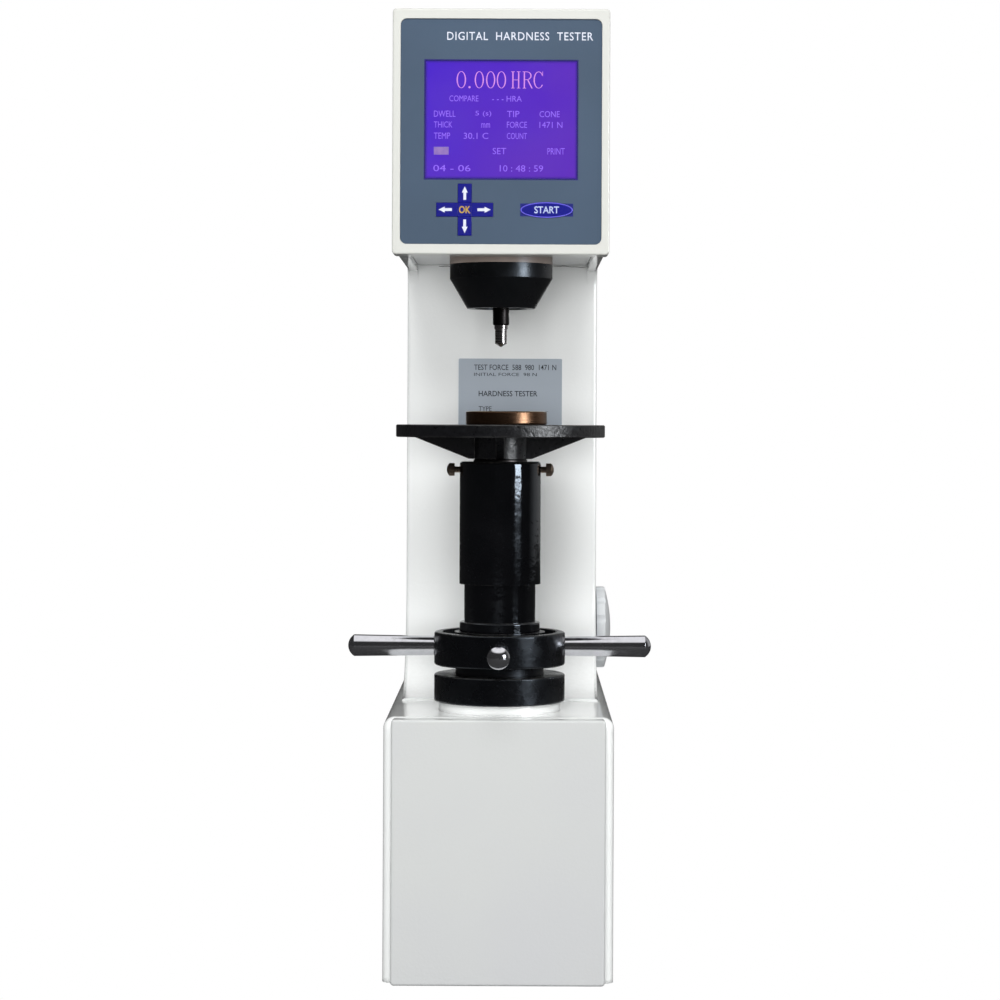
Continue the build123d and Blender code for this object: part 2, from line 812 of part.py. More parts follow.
base_panel_height = base_height - casting_wall - head_floor - rear_window_margin
base_panel_z = (casting_wall + base_height - head_floor) / 2
with BuildPart() as base_rear_cover:
    with BuildSketch(rear_plane):
        with Locations((0, base_panel_z)):
            RectangleRounded(panel_rear_width, base_panel_height, panel_round)
        with Locations((entry_x, ports_z)):
            Rectangle(entry_width - 2 * entry_lip, entry_height - 2 * entry_lip, mode=Mode.SUBTRACT)
        with Locations((port_x, ports_z)):
            Rectangle(port_width - 2 * port_ear, port_height - 2 * port_lip, mode=Mode.SUBTRACT)
    extrude(amount=sheet)
base_rear_cover.part.label = "base_rear_cover"
export_step(base_rear_cover.part, "parts/base_rear_cover.step")

# Pan-head screws of the two rear covers, cross-recessed and seated on the sheet.
screw_span = panel_rear_width - 2 * screw_inset
screw_places = [
    (screw_span / 2 * side, column_panel_z + row * (column_panel_height / 2 - 8))
    for side in (-1, 1)
    for row in (-1, 0, 1)
]
screw_places += [
    (screw_span / 2 * side, base_panel_z + row * (base_panel_height / 2 - screw_inset))
    for side in (-1, 1)
    for row in (-1, 1)
]
with BuildPart() as cover_screws:
    with BuildSketch(rear_plane):
        with Locations(*screw_places):
            Circle(screw_head_radius)
    extrude(amount=-screw_head_height)
    rounded_rims = cover_screws.edges().filter_by(GeomType.CIRCLE).group_by(Axis.Y)[-1]
    fillet(rounded_rims, screw_head_round)
    with BuildSketch(rear_plane.offset(-screw_head_height)):
        with Locations(*screw_places):
            Rectangle(screw_cross_length, screw_cross_width)
            Rectangle(screw_cross_width, screw_cross_length)
    extrude(amount=screw_cross_depth, mode=Mode.SUBTRACT)
cover_screws.part.label = "cover_screws"
export_step(cover_screws.part, "parts/cover_screws.step")

# ---------------------------------------------------------------- rear ports
with BuildPart() as power_entry:
    with BuildSketch(rear_plane):
        with Locations((entry_x, ports_z)):
            RectangleRounded(entry_width, entry_height, entry_round)
    extrude(amount=-flange_thickness)
    with BuildSketch(rear_plane):
        with Locations((entry_x, ports_z)):
            Rectangle(
                entry_width - 2 * entry_lip - panel_gap,
                entry_height - 2 * entry_lip - panel_gap,
            )
    extrude(amount=socket_depth + socket_back)
    with BuildSketch(rear_plane.offset(-flange_thickness)):
        with Locations((socket_x, ports_z)):
            Rectangle(socket_width, socket_height)
    extrude(amount=socket_depth + flange_thickness, mode=Mode.SUBTRACT)
    # Three flat pins, the earth pin above the other two.
    with BuildSketch(rear_plane.offset(socket_depth)):
        with Locations(
            (socket_x, ports_z + earth_pin_rise),
            (socket_x - pin_spread, ports_z - live_pin_drop),
            (socket_x + pin_spread, ports_z - live_pin_drop),
        ):
            Rectangle(pin_width, pin_height)
    extrude(amount=-(socket_depth - pin_short))
    # Fuse drawer between the socket and the rocker.
    with BuildSketch(rear_plane.offset(-flange_thickness)):
        with Locations((fuse_x, ports_z)):
            RectangleRounded(fuse_width, fuse_height, 1)
    extrude(amount=-1)
    with BuildSketch(rear_plane.offset(-flange_thickness)):
        with Locations((rocker_x, ports_z)):
            Rectangle(rocker_width + 2 * panel_gap, rocker_height + 3 * panel_gap)
    extrude(amount=socket_depth, mode=Mode.SUBTRACT)
    # Trunnion holes of the rocker.
    with BuildSketch(Plane.YZ.offset(rocker_x)):
        with Locations((rocker_y, ports_z)):
            Circle(trunnion_radius + running)
    extrude(amount=rocker_width / 2 + 1, both=True, mode=Mode.SUBTRACT)
power_entry.part.label = "power_entry"
export_step(power_entry.part, "parts/power_entry.step")

rocker_plane = Plane(
    origin=(rocker_x, rocker_y, ports_z),
    x_dir=(0, cos(radians(rocker_tilt)), -sin(radians(rocker_tilt))),
    z_dir=(1, 0, 0),
)
rocker_half = rocker_height / 2 - 6 * panel_gap
with BuildPart() as power_rocker:
    with BuildSketch(rocker_plane):
        with BuildLine():
            Polyline(
                (-rocker_root, -rocker_root),
                (rocker_root, -rocker_half),
                (rocker_crest, -rocker_half),
                (rocker_valley, 0),
                (rocker_crest, rocker_half),
                (rocker_root, rocker_half),
                (-rocker_root, rocker_root),
                close=True,
            )
        make_face()
    extrude(amount=rocker_width / 2, both=True)
    with BuildSketch(rocker_plane):
        Circle(trunnion_radius)
    extrude(amount=rocker_width / 2 + trunnion_length, both=True)
power_rocker.part.label = "power_rocker"
export_step(power_rocker.part, "parts/power_rocker.step")

# Nine-way connector: flange, D-shaped shell and two rows of contacts.
long_row = [(contact_pitch * (i - 2), contact_row / 2) for i in range(5)]
short_row = [(contact_pitch * (i - 1.5), -contact_row / 2) for i in range(4)]
with BuildPart() as serial_port:
    with BuildSketch(rear_plane):
        with Locations((port_x, ports_z)):
            RectangleRounded(port_width, port_height, port_flange)
    extrude(amount=-port_flange)
    with BuildSketch(rear_plane.offset(-port_flange)) as shell_outline:
        with Locations((port_x, ports_z)):
            Trapezoid(shell_width, shell_height, shell_slant, rotation=180)
        fillet(shell_outline.vertices(), shell_round)
    extrude(amount=-shell_depth)
    with BuildSketch(rear_plane.offset(-port_flange)):
        add(shell_outline.sketch)
        offset(amount=-shell_wall, mode=Mode.REPLACE)
    extrude(amount=-shell_depth, mode=Mode.SUBTRACT)
    with BuildSketch(rear_plane.offset(-port_flange)):
        with Locations((port_x, ports_z)):
            with Locations(*long_row, *short_row):
                Circle(contact_radius)
    extrude(amount=-contact_length)
    with BuildSketch(rear_plane):
        with Locations((port_x, ports_z)):
            Rectangle(
                port_width - 2 * port_ear - panel_gap,
                port_height - 2 * port_lip - panel_gap,
            )
    extrude(amount=port_body)
serial_port.part.label = "serial_port"
export_step(serial_port.part, "parts/serial_port.step")

# Power supply on the floor of the base: chassis plate, transformer and board.
chassis_z = casting_wall + sheet
supply_board_z = chassis_z + standoff_height
supply_board_x = -supply_width / 4
with BuildPart() as power_supply:
    with BuildSketch(Plane.XY.offset(casting_wall)):
        with Locations((0, supply_y)):
            Rectangle(supply_width, supply_depth)
    extrude(amount=sheet)
    with BuildSketch(Plane.XY.offset(chassis_z)):
        with Locations((supply_width / 4, supply_y)):
            Rectangle(core_width, core_depth)
    extrude(amount=core_height)
    with BuildSketch(Plane.XY.offset(chassis_z + (core_height - coil_height) / 2)):
        with Locations((supply_width / 4, supply_y)):
            RectangleRounded(coil_width, coil_depth, coil_round)
    extrude(amount=coil_height)
    with BuildSketch(Plane.XY.offset(chassis_z)):
        with Locations((supply_board_x, supply_y)):
            with GridLocations(
                supply_board_width - 2 * supply_board_margin,
                supply_board_depth - 2 * supply_board_margin,
                2,
                2,
            ):
                Circle(pillar_radius)
    extrude(amount=standoff_height)
    with BuildSketch(Plane.XY.offset(supply_board_z)):
        with Locations((supply_board_x, supply_y)):
            Rectangle(supply_board_width, supply_board_depth)
    extrude(amount=board_thickness)
    with BuildSketch(Plane.XY.offset(supply_board_z + board_thickness)):
        with Locations(
            (supply_board_x - capacitor_spread, supply_y + capacitor_offset),
            (supply_board_x + capacitor_spread, supply_y + capacitor_offset),
        ):
            Circle(capacitor_radius)
        with Locations((supply_board_x, supply_y - heat_sink_offset)):
            Rectangle(heat_sink_width, heat_sink_depth)
    extrude(amount=capacitor_height)
power_supply.part.label = "power_supply"
export_step(power_supply.part, "parts/power_supply.step")

# ---------------------------------------------------------------- data plate
with BuildPart() as data_plate:
    with BuildSketch(Plane.XZ.offset(-throat)):
        with Locations((plate_x, plate_top - plate_height / 2)):
            RectangleRounded(plate_width, plate_height, 1)
    extrude(amount=plate_thickness)
data_plate.part.label = "data_plate"
export_step(data_plate.part, "parts/data_plate.step")

# ---------------------------------------------------------------- under the head
underplate_rear = throat - 1.0
with BuildPart() as head_underplate:
    with BuildSketch(Plane.XY.offset(head_underside)):
        with Locations((0, (head_front + underplate_rear) / 2)):
            Rectangle(column_width - 2 * lip_width - 2 * gap, underplate_rear - head_front)
        Circle(ring_radius + gap, mode=Mode.SUBTRACT)
    extrude(amount=-underplate_thickness)
head_underplate.part.label = "head_underplate"
export_step(head_underplate.part, "parts/head_underplate.step")

ring_z = head_underside - ring_height
with BuildPart() as spindle_bush:
    with BuildSketch(Plane.XZ):
        with BuildLine():
            Polyline(
                (spindle_radius + running, ring_z),
                (ring_radius, ring_z),
                (ring_radius, head_underside),
                (bush_radius, head_underside),
                (bush_radius, bush_top),
                (spindle_radius + running, bush_top),
                close=True,
            )
        make_face()
    revolve(axis=Axis.Z)
spindle_bush.part.label = "spindle_bush"
export_step(spindle_bush.part, "parts/spindle_bush.step")

cone_z = ring_z - chuck_straight
chuck_end = cone_z - chuck_cone
with BuildPart() as chuck_cover:
    with BuildSketch(Plane.XZ):
        with BuildLine():
            Polyline(
                (nose_radius + gap, chuck_end),
                (chuck_end_radius, chuck_end),
                (ring_radius, cone_z),
                (ring_radius, ring_z),
                (ring_radius - chuck_wall, ring_z),
                (ring_radius - chuck_wall, cone_z + 1),
                (chuck_end_radius - chuck_wall, chuck_end + chuck_wall),
                (nose_radius + gap, chuck_end + chuck_wall),
                close=True,
            )
        make_face()
    revolve(axis=Axis.Z)
    # Shallow turned recess in the end face round the spindle nose.
    with BuildSketch(Plane.XY.offset(chuck_end)):
        Circle(chuck_end_radius - chuck_recess_margin)
    extrude(amount=chuck_recess, mode=Mode.SUBTRACT)
chuck_cover.part.label = "chuck_cover"
export_step(chuck_cover.part, "parts/chuck_cover.step")

# Spindle: nose, journal, stop collar, stem and gauge pin, turned about one axis.
socket_top = nose_bottom + indenter_shank_length
gauge_pin_top = gauge_z - gap - spindle_lift
with BuildPart() as spindle:
    with BuildSketch(Plane.XZ):
        with BuildLine():
            Polyline(
                (indenter_shank_radius, nose_bottom),
                (nose_radius - 0.6, nose_bottom),
                (nose_radius, nose_bottom + 0.8),
                (nose_radius, spindle_shoulder),
                (spindle_radius - 1, spindle_shoulder),
                (spindle_radius, spindle_shoulder + 1),
                (spindle_radius, collar_z),
                (collar_radius, collar_z),
                (collar_radius, spring_low),
                (stem_radius, spring_low),
                (stem_radius, stem_top),
                (gauge_pin_radius, stem_top),
                (gauge_pin_radius, gauge_pin_top),
                (0, gauge_pin_top),
                (0, socket_top),
                (indenter_shank_radius, socket_top),
                close=True,
            )
        make_face()
    revolve(axis=Axis.Z)
    with BuildSketch(Plane.YZ.offset(indenter_shank_radius - 1)):
        with Locations((0, clamp_screw_z)):
            Circle(clamp_screw_radius)
    extrude(amount=nose_radius, mode=Mode.SUBTRACT)
spindle.part.label = "spindle"
export_step(spindle.part, "parts/spindle.step")

with BuildPart() as indenter:
    with BuildSketch(Plane.XZ):
        tip_height = indenter_radius / tan(radians(cone_angle / 2))
        with BuildLine():
            Polyline(
                (0, nose_bottom + indenter_shank_length - gap),
                (indenter_shank_radius, nose_bottom + indenter_shank_length - gap),
                (indenter_shank_radius, nose_bottom),
                (indenter_collar_radius, nose_bottom),
                (indenter_collar_radius, nose_bottom - indenter_collar_height),
                (indenter_radius, nose_bottom - indenter_collar_height),
                (indenter_radius, indenter_shoulder),
                (0, indenter_shoulder - tip_height),
                close=True,
            )
        make_face()
    revolve(axis=Axis.Z)
    # Flat on the shank for the clamp screw.
    with BuildSketch(Plane.YZ.offset(indenter_shank_radius - clamp_flat)):
        with Locations((0, clamp_screw_z)):
            Rectangle(2 * indenter_shank_radius, clamp_flat_height)
    extrude(amount=1, mode=Mode.SUBTRACT)
indenter.part.label = "indenter"
export_step(indenter.part, "parts/indenter.step")

clamp_length = nose_radius - indenter_shank_radius + panel_gap
with BuildPart() as clamp_screw:
    with BuildSketch(Plane.YZ.offset(indenter_shank_radius - clamp_flat)):
        with Locations((0, clamp_screw_z)):
            Circle(clamp_screw_radius)
    extrude(amount=clamp_length)
    with BuildSketch(Plane.YZ.offset(indenter_shank_radius - clamp_flat + clamp_length)):
        with Locations((0, clamp_screw_z)):
            Rectangle(2 * clamp_screw_radius, clamp_slot_width)
    extrude(amount=-clamp_slot_depth, mode=Mode.SUBTRACT)
clamp_screw.part.label = "clamp_screw"
export_step(clamp_screw.part, "parts/clamp_screw.step")

# Preload spring between the spindle collar and the cap, inside its housing.
spring_radius = stem_radius + spring_wire + 1
spring_length = spring_high - spring_low - spring_wire - 2 * gap
with BuildPart() as preload_spring:
    with BuildLine() as spring_path:
        Helix(
            pitch=spring_length / spring_turns,
            height=spring_length,
            radius=spring_radius,
            center=(0, 0, spring_low + spring_wire / 2 + gap),
        )
    with BuildSketch(spring_path.line ^ 0):
        Circle(spring_wire / 2)
    sweep(is_frenet=True)
preload_spring.part.label = "preload_spring"
export_step(preload_spring.part, "parts/preload_spring.step")

with BuildPart() as spring_housing:
    with BuildSketch(Plane.XY.offset(bush_top)):
        Circle(housing_radius)
        Circle(housing_radius - housing_wall, mode=Mode.SUBTRACT)
    extrude(amount=housing_height)
spring_housing.part.label = "spring_housing"
export_step(spring_housing.part, "parts/spring_housing.step")

with BuildPart() as preload_nut:
    with BuildSketch(Plane.XY.offset(spring_high)):
        Circle(housing_radius - housing_wall)
        Circle(stem_radius + gap, mode=Mode.SUBTRACT)
    extrude(amount=cap_height)
    # Two holes for the pin spanner that sets the preload.
    with BuildSketch(Plane.XY.offset(housing_top)):
        with PolarLocations((housing_radius - housing_wall + stem_radius) / 2, 2, start_angle=90):
            Circle(spanner_hole_radius)
    extrude(amount=-spanner_hole_depth, mode=Mode.SUBTRACT)
preload_nut.part.label = "preload_nut"
export_step(preload_nut.part, "parts/preload_nut.step")

# ---------------------------------------------------------------- main lever on knife edges
lever_rear = hanger_y + lever_overhang
lever_front = -fulcrum_arm - lever_front_margin
lever_slope_y = lever_nose_length + lever_nose_slope
lever_slot_z = (lever_bottom + lever_top) / 2
hanger_knife_z = lever_top + knife_half_width
with BuildPart() as load_lever:
    with BuildSketch(Plane.YZ):
        with BuildLine():
            Polyline(
                (lever_front, lever_bottom),
                (cam_y + 20, lever_bottom),
                (lever_rear, lever_bottom + lever_tail_lift),
                (lever_rear, lever_top),
                (lever_slope_y, lever_top),
                (lever_nose_length, lever_nose_top),
                (lever_front, lever_nose_top),
                close=True,
            )
        make_face()
        # Seats of the three knives.
        with BuildLine():
            Polyline(
                (-fulcrum_arm, fulcrum_z),
                (-fulcrum_arm - knife_half_width, fulcrum_z - knife_height),
                (-fulcrum_arm + knife_half_width, fulcrum_z - knife_height),
                close=True,
            )
        make_face(mode=Mode.SUBTRACT)
        with BuildLine():
            Polyline(
                (0, contact_z),
                (-contact_half_width, contact_z + knife_height),
                (contact_half_width, contact_z + knife_height),
                close=True,
            )
        make_face(mode=Mode.SUBTRACT)
        with BuildLine():
            Polyline(
                (hanger_y, hanger_knife_z),
                (hanger_y - knife_half_width, hanger_knife_z - knife_height),
                (hanger_y + knife_half_width, hanger_knife_z - knife_height),
                close=True,
            )
        make_face(mode=Mode.SUBTRACT)
        # Lightening slots.
        with Locations((lever_slot_y, lever_slot_z)):
            with GridLocations(lever_slot_pitch, 0, 2, 1):
                SlotOverall(lever_slot_length, lever_slot_width, mode=Mode.SUBTRACT)
    extrude(amount=lever_half_width, both=True)
    with BuildSketch(Plane.XY.offset(lever_bottom)):
        Circle(2 * gauge_pin_radius + gap)
    extrude(amount=lever_nose_top - lever_bottom, mode=Mode.SUBTRACT)
load_lever.part.label = "load_lever"
export_step(load_lever.part, "parts/load_lever.step")

with BuildPart() as lever_knives:
    with BuildSketch(Plane.YZ):
        with BuildLine():
            Polyline(
                (-fulcrum_arm, fulcrum_z),
                (-fulcrum_arm - knife_half_width, fulcrum_z - knife_height),
                (-fulcrum_arm + knife_half_width, fulcrum_z - knife_height),
                close=True,
            )
        make_face()
    extrude(amount=knife_reach, both=True)
    with BuildSketch(Plane.YZ):
        with BuildLine():
            Polyline(
                (0, contact_z),
                (-contact_half_width, contact_z + knife_height),
                (contact_half_width, contact_z + knife_height),
                close=True,
            )
        make_face()
        with BuildLine():
            Polyline(
                (hanger_y, hanger_knife_z),
                (hanger_y - knife_half_width, hanger_knife_z - knife_height),
                (hanger_y + knife_half_width, hanger_knife_z - knife_height),
                close=True,
            )
        make_face()
    extrude(amount=lever_half_width, both=True)
    with BuildSketch(Plane.XY.offset(contact_z - 1)):
        Circle(2 * gauge_pin_radius + gap)
    extrude(amount=knife_height + 2, mode=Mode.SUBTRACT)
lever_knives.part.label = "lever_knives"
export_step(lever_knives.part, "parts/lever_knives.step")

# Bridge over the lever: two posts, V seats for the fulcrum knife and a beam for the gauge.
bridge_front = head_front + casting_wall + gap
bridge_rear = bridge_front + bridge_depth
passage = lever_half_width + seat_side_gap
with BuildPart() as fulcrum_bridge:
    with BuildSketch(Plane.XZ.offset(-bridge_rear)):
        with BuildLine():
            Polyline(
                (passage, bridge_beam_z),
                (passage, fulcrum_z - knife_half_width),
                (bridge_half_width - bridge_post, fulcrum_z - knife_half_width),
                (bridge_half_width - bridge_post, floor_z),
                (bridge_half_width, floor_z),
                (bridge_half_width, bridge_beam_z + bridge_beam),
                (0, bridge_beam_z + bridge_beam),
                (0, bridge_beam_z),
                close=True,
            )
        make_face()
        mirror(about=Plane.YZ)
    extrude(amount=bridge_rear - bridge_front)
    with BuildSketch(Plane.XY.offset(bridge_beam_z)):
        with Locations((0, bridge_rear + bridge_depth / 4)):
            Rectangle(2 * passage, bridge_depth / 2)
    extrude(amount=bridge_beam)
    with BuildSketch(Plane.XY.offset(bridge_beam_z)):
        Circle(gauge_pin_radius + 1)
    extrude(amount=bridge_beam, mode=Mode.SUBTRACT)
    with BuildSketch(Plane.XY.offset(floor_z)):
        Circle(housing_radius + 1)
    extrude(amount=spindle_boss_height + housing_height, mode=Mode.SUBTRACT)
    with BuildSketch(Plane.XY.offset(floor_z)):
        Circle(spindle_boss_radius + gap)
    extrude(amount=spindle_boss_height, mode=Mode.SUBTRACT)
    with BuildSketch(Plane.YZ):
        with BuildLine():
            Polyline(
                (-fulcrum_arm, fulcrum_z + gap),
                (-fulcrum_arm - 2 * knife_half_width, fulcrum_z - knife_half_width - 1),
                (-fulcrum_arm + 2 * knife_half_width, fulcrum_z - knife_half_width - 1),
                close=True,
            )
        make_face()
    extrude(amount=knife_reach + 0.5, both=True, mode=Mode.SUBTRACT)
fulcrum_bridge.part.label = "fulcrum_bridge"
export_step(fulcrum_bridge.part, "parts/fulcrum_bridge.step")

with BuildPart() as depth_gauge:
    with BuildSketch(Plane.XY.offset(gauge_z)):
        with Locations((0, gauge_offset)):
            RectangleRounded(gauge_size, gauge_size, 2)
    extrude(amount=gauge_height)
depth_gauge.part.label = "depth_gauge"
export_step(depth_gauge.part, "parts/depth_gauge.step")

# ---------------------------------------------------------------- hanger and weights
strap_x = lever_half_width + stirrup_clear
stirrup_bottom = lever_bottom - stirrup_drop
stirrup_seat = hanger_knife_z + gap
stirrup_length = stirrup_seat + stirrup_margin - stirrup_bottom
with BuildPart() as weight_hanger:
    with BuildSketch(Plane.XZ.offset(-hanger_y)):
        with Locations((0, stirrup_bottom + stirrup_length / 2)):
            Rectangle(2 * (strap_x + hanger_strap), stirrup_length + 2 * hanger_strap)
            Rectangle(2 * strap_x, stirrup_length - 2 * hanger_strap, mode=Mode.SUBTRACT)
    extrude(amount=hanger_half_depth, both=True)
    # Block with the V that hangs on the lever's rear knife.
    with BuildSketch(Plane.YZ):
        with BuildLine():
            Polyline(
                (hanger_y, stirrup_seat),
                (hanger_y - hanger_half_depth, stirrup_seat - hanger_vee),
                (hanger_y - hanger_half_depth, stirrup_seat + hanger_block),
                (hanger_y + hanger_half_depth, stirrup_seat + hanger_block),
                (hanger_y + hanger_half_depth, stirrup_seat - hanger_vee),
                close=True,
            )
        make_face()
    extrude(amount=strap_x, both=True)
    with BuildSketch(Plane.XY.offset(tray_z)):
        with Locations((0, hanger_y)):
            Circle(hanger_rod_radius)
    extrude(amount=stirrup_bottom - tray_z)
    with BuildSketch(Plane.XY.offset(tray_z)):
        with Locations((0, hanger_y)):
            Circle(tray_radius)
    extrude(amount=tray_thickness)
weight_hanger.part.label = "weight_hanger"
export_step(weight_hanger.part, "parts/weight_hanger.step")

weight_names = ("weight_base", "weight_middle", "weight_top")
weight_lug_y = (None, hanger_y - lug_offset, hanger_y + lug_offset)
weight_z = weights_z
lug_bottoms = []
for weight_name, weight_height, lug_y in zip(weight_names, weight_heights, weight_lug_y):
    with BuildPart() as weight:
        with BuildSketch(Plane.XY.offset(weight_z)):
            with Locations((0, hanger_y)):
                Circle(weight_radius)
                Circle(hanger_rod_radius + gap, mode=Mode.SUBTRACT)
        extrude(amount=weight_height)
        upper_rim = weight.faces().sort_by(Axis.Z)[-1].edges().sort_by(SortBy.LENGTH)[-1]
        chamfer(upper_rim, weight_chamfer)
        if lug_y is not None:
            with BuildSketch(Plane.YZ):
                with Locations((lug_y, weight_z + weight_height / 2)):
                    Circle(lug_radius)
            extrude(amount=lug_reach, both=True)
            with BuildSketch(Plane.XY.offset(weight_z)):
                with Locations((0, hanger_y)):
                    Circle(hanger_rod_radius + gap)
            extrude(amount=weight_height, mode=Mode.SUBTRACT)
            lug_bottoms.append(weight_z + weight_height / 2 - lug_radius)
    weight.part.label = weight_name
    export_step(weight.part, f"parts/{weight_name}.step")
    weight_z += weight_height

# ---------------------------------------------------------------- loading drive
rod_bottom = cam_z + cam_radius + cam_throw + 3 * gap
with BuildPart() as lift_rod:
    with BuildSketch(Plane.XY.offset(rod_bottom)):
        with Locations((0, cam_y)):
            Circle(2 * lift_rod_radius)
    extrude(amount=lift_rod_foot)
    with BuildSketch(Plane.XY.offset(rod_bottom + lift_rod_foot)):
        with Locations((0, cam_y)):
            Circle(lift_rod_radius)
    extrude(amount=lever_bottom - gap - rod_bottom - lift_rod_foot)
lift_rod.part.label = "lift_rod"
export_step(lift_rod.part, "parts/lift_rod.step")

# One bracket on the left wall carries the motor below and the rod's guide above.
bracket_low = cam_z - gearbox_height / 2 - bracket_tail
bracket_high = rod_guide_z + bracket_head
with BuildPart() as drive_bracket:
    with BuildSketch(Plane.YZ.offset(-inside_half)):
        with Locations((cam_y, (bracket_low + bracket_high) / 2)):
            RectangleRounded(gearbox_depth + 2 * bracket_margin, bracket_high - bracket_low, panel_round)
    extrude(amount=bracket_plate)
    with BuildSketch(Plane.XY.offset(rod_guide_z)):
        with Locations((-inside_half / 2, cam_y)):
            Rectangle(inside_half, 2 * rod_guide_radius)
        with Locations((0, cam_y)):
            Circle(rod_guide_radius)
            Circle(lift_rod_radius + running, mode=Mode.SUBTRACT)
    extrude(amount=bracket_plate)
    # Gusset under the guide arm.
    with BuildSketch(Plane.XZ.offset(-cam_y)):
        with BuildLine():
            Polyline(
                (-inside_half, rod_guide_z),
                (-inside_half / 3, rod_guide_z),
                (-inside_half, rod_guide_z - inside_half / 2),
                close=True,
            )
        make_face()
    extrude(amount=bracket_plate / 2, both=True)
drive_bracket.part.label = "drive_bracket"
export_step(drive_bracket.part, "parts/drive_bracket.step")

gearbox_x = -inside_half + bracket_plate + gearbox_width / 2
gearbox_face = gearbox_x + gearbox_width / 2
cam_shaft_start = gearbox_x - gearbox_width / 4
with BuildPart() as load_motor:
    with BuildSketch(Plane.XY.offset(cam_z - gearbox_height / 2)):
        with Locations((gearbox_x, cam_y)):
            RectangleRounded(gearbox_width, gearbox_depth, panel_round)
    extrude(amount=gearbox_height)
    with BuildSketch(Plane.XY.offset(cam_z - gearbox_height / 2 - motor_length)):
        with Locations((gearbox_x, cam_y)):
            Circle(motor_radius)
    extrude(amount=motor_length)
    with BuildSketch(Plane.YZ.offset(cam_shaft_start)):
        with Locations((cam_y, cam_z)):
            Circle(cam_shaft_radius + running)
    extrude(amount=gearbox_width, mode=Mode.SUBTRACT)
load_motor.part.label = "load_motor"
export_step(load_motor.part, "parts/load_motor.step")

with BuildPart() as load_cam:
    with BuildSketch(Plane.YZ.offset(cam_shaft_start)):
        with Locations((cam_y, cam_z)):
            Circle(cam_shaft_radius)
    extrude(amount=-cam_shaft_start + cam_width / 2)
    with BuildSketch(Plane.YZ.offset(-cam_width / 2)):
        with Locations((cam_y, cam_z + cam_throw)):
            Circle(cam_radius)
    extrude(amount=cam_width)
load_cam.part.label = "load_cam"
export_step(load_cam.part, "parts/load_cam.step")

# ---------------------------------------------------------------- force selector
dial_x = side_x + dial_thickness
knob_x = dial_x + dial_gap
selector_axis = Axis((0, selector_y, selector_z), (1, 0, 0))
knob_edge = knob_x + knob_skirt
knob_tip = knob_edge + knob_dome
knob_dome_x, knob_dome_r = dome_point(knob_tip, knob_radius - knob_round, knob_dome)
with BuildPart() as selector_dial:
    with BuildSketch(Plane.YZ.offset(side_x)):
        with Locations((selector_y, selector_z)):
            Circle(dial_radius)
            Circle(selector_shaft_radius + gap, mode=Mode.SUBTRACT)
    extrude(amount=dial_thickness)
selector_dial.part.label = "selector_dial"
export_step(selector_dial.part, "parts/selector_dial.step")

shaft_start = -inside_half + 1 + gap
shaft_end = knob_x + knob_skirt - 1
with BuildPart() as selector_shaft:
    with BuildSketch(Plane.YZ.offset(shaft_start)):
        with Locations((selector_y, selector_z)):
            Circle(selector_shaft_radius)
    extrude(amount=shaft_end - shaft_start)
    with BuildSketch(Plane.YZ.offset(-selector_cam_x - selector_cam_width / 2)):
        with Locations((selector_y, selector_z - selector_cam_throw)):
            Circle(selector_cam_radius)
    extrude(amount=selector_cam_width)
    with BuildSketch(Plane.YZ.offset(selector_cam_x - selector_cam_width / 2)):
        with Locations((selector_y, selector_z - selector_cam_throw)):
            Circle(selector_cam_radius)
    extrude(amount=selector_cam_width)
selector_shaft.part.label = "selector_shaft"
export_step(selector_shaft.part, "parts/selector_shaft.step")

with BuildPart() as selector_knob:
    with BuildSketch(Plane.XY.offset(selector_z)):
        with BuildLine():
            Polyline(
                (knob_x, selector_y),
                (knob_x, selector_y + knob_radius),
                (knob_edge - knob_round, selector_y + knob_radius),
            )
            ThreePointArc(
                (knob_edge - knob_round, selector_y + knob_radius),
                (
                    knob_edge - knob_round * (1 - sin(radians(45))),
                    selector_y + knob_radius - knob_round * (1 - cos(radians(45))),
                ),
                (knob_edge, selector_y + knob_radius - knob_round),
            )
            ThreePointArc(
                (knob_edge, selector_y + knob_radius - knob_round),
                (knob_dome_x, selector_y + knob_dome_r),
                (knob_tip, selector_y),
            )
            Line((knob_tip, selector_y), (knob_x, selector_y))
        make_face()
    revolve(axis=selector_axis)
    # Shaft bore, finger scallops round the skirt and a pointer groove.
    with BuildSketch(Plane.YZ.offset(knob_x)):
        with Locations((selector_y, selector_z)):
            Circle(selector_shaft_radius)
    extrude(amount=shaft_end - knob_x, mode=Mode.SUBTRACT)
    with BuildSketch(Plane.YZ.offset(knob_x)):
        with Locations((selector_y, selector_z)):
            with PolarLocations(knob_radius + scallop_offset, scallop_count, start_angle=15):
                Circle(scallop_radius)
    extrude(amount=knob_skirt + knob_dome, mode=Mode.SUBTRACT)
    with BuildSketch(Plane.YZ.offset(knob_x + knob_skirt + knob_dome)):
        with Locations((selector_y, selector_z + knob_radius * 0.55)):
            SlotOverall(knob_radius * 0.6, pointer_width, rotation=90)
    extrude(amount=-knob_dome - pointer_depth, mode=Mode.SUBTRACT)
selector_knob.part.label = "selector_knob"
export_step(selector_knob.part, "parts/selector_knob.step")

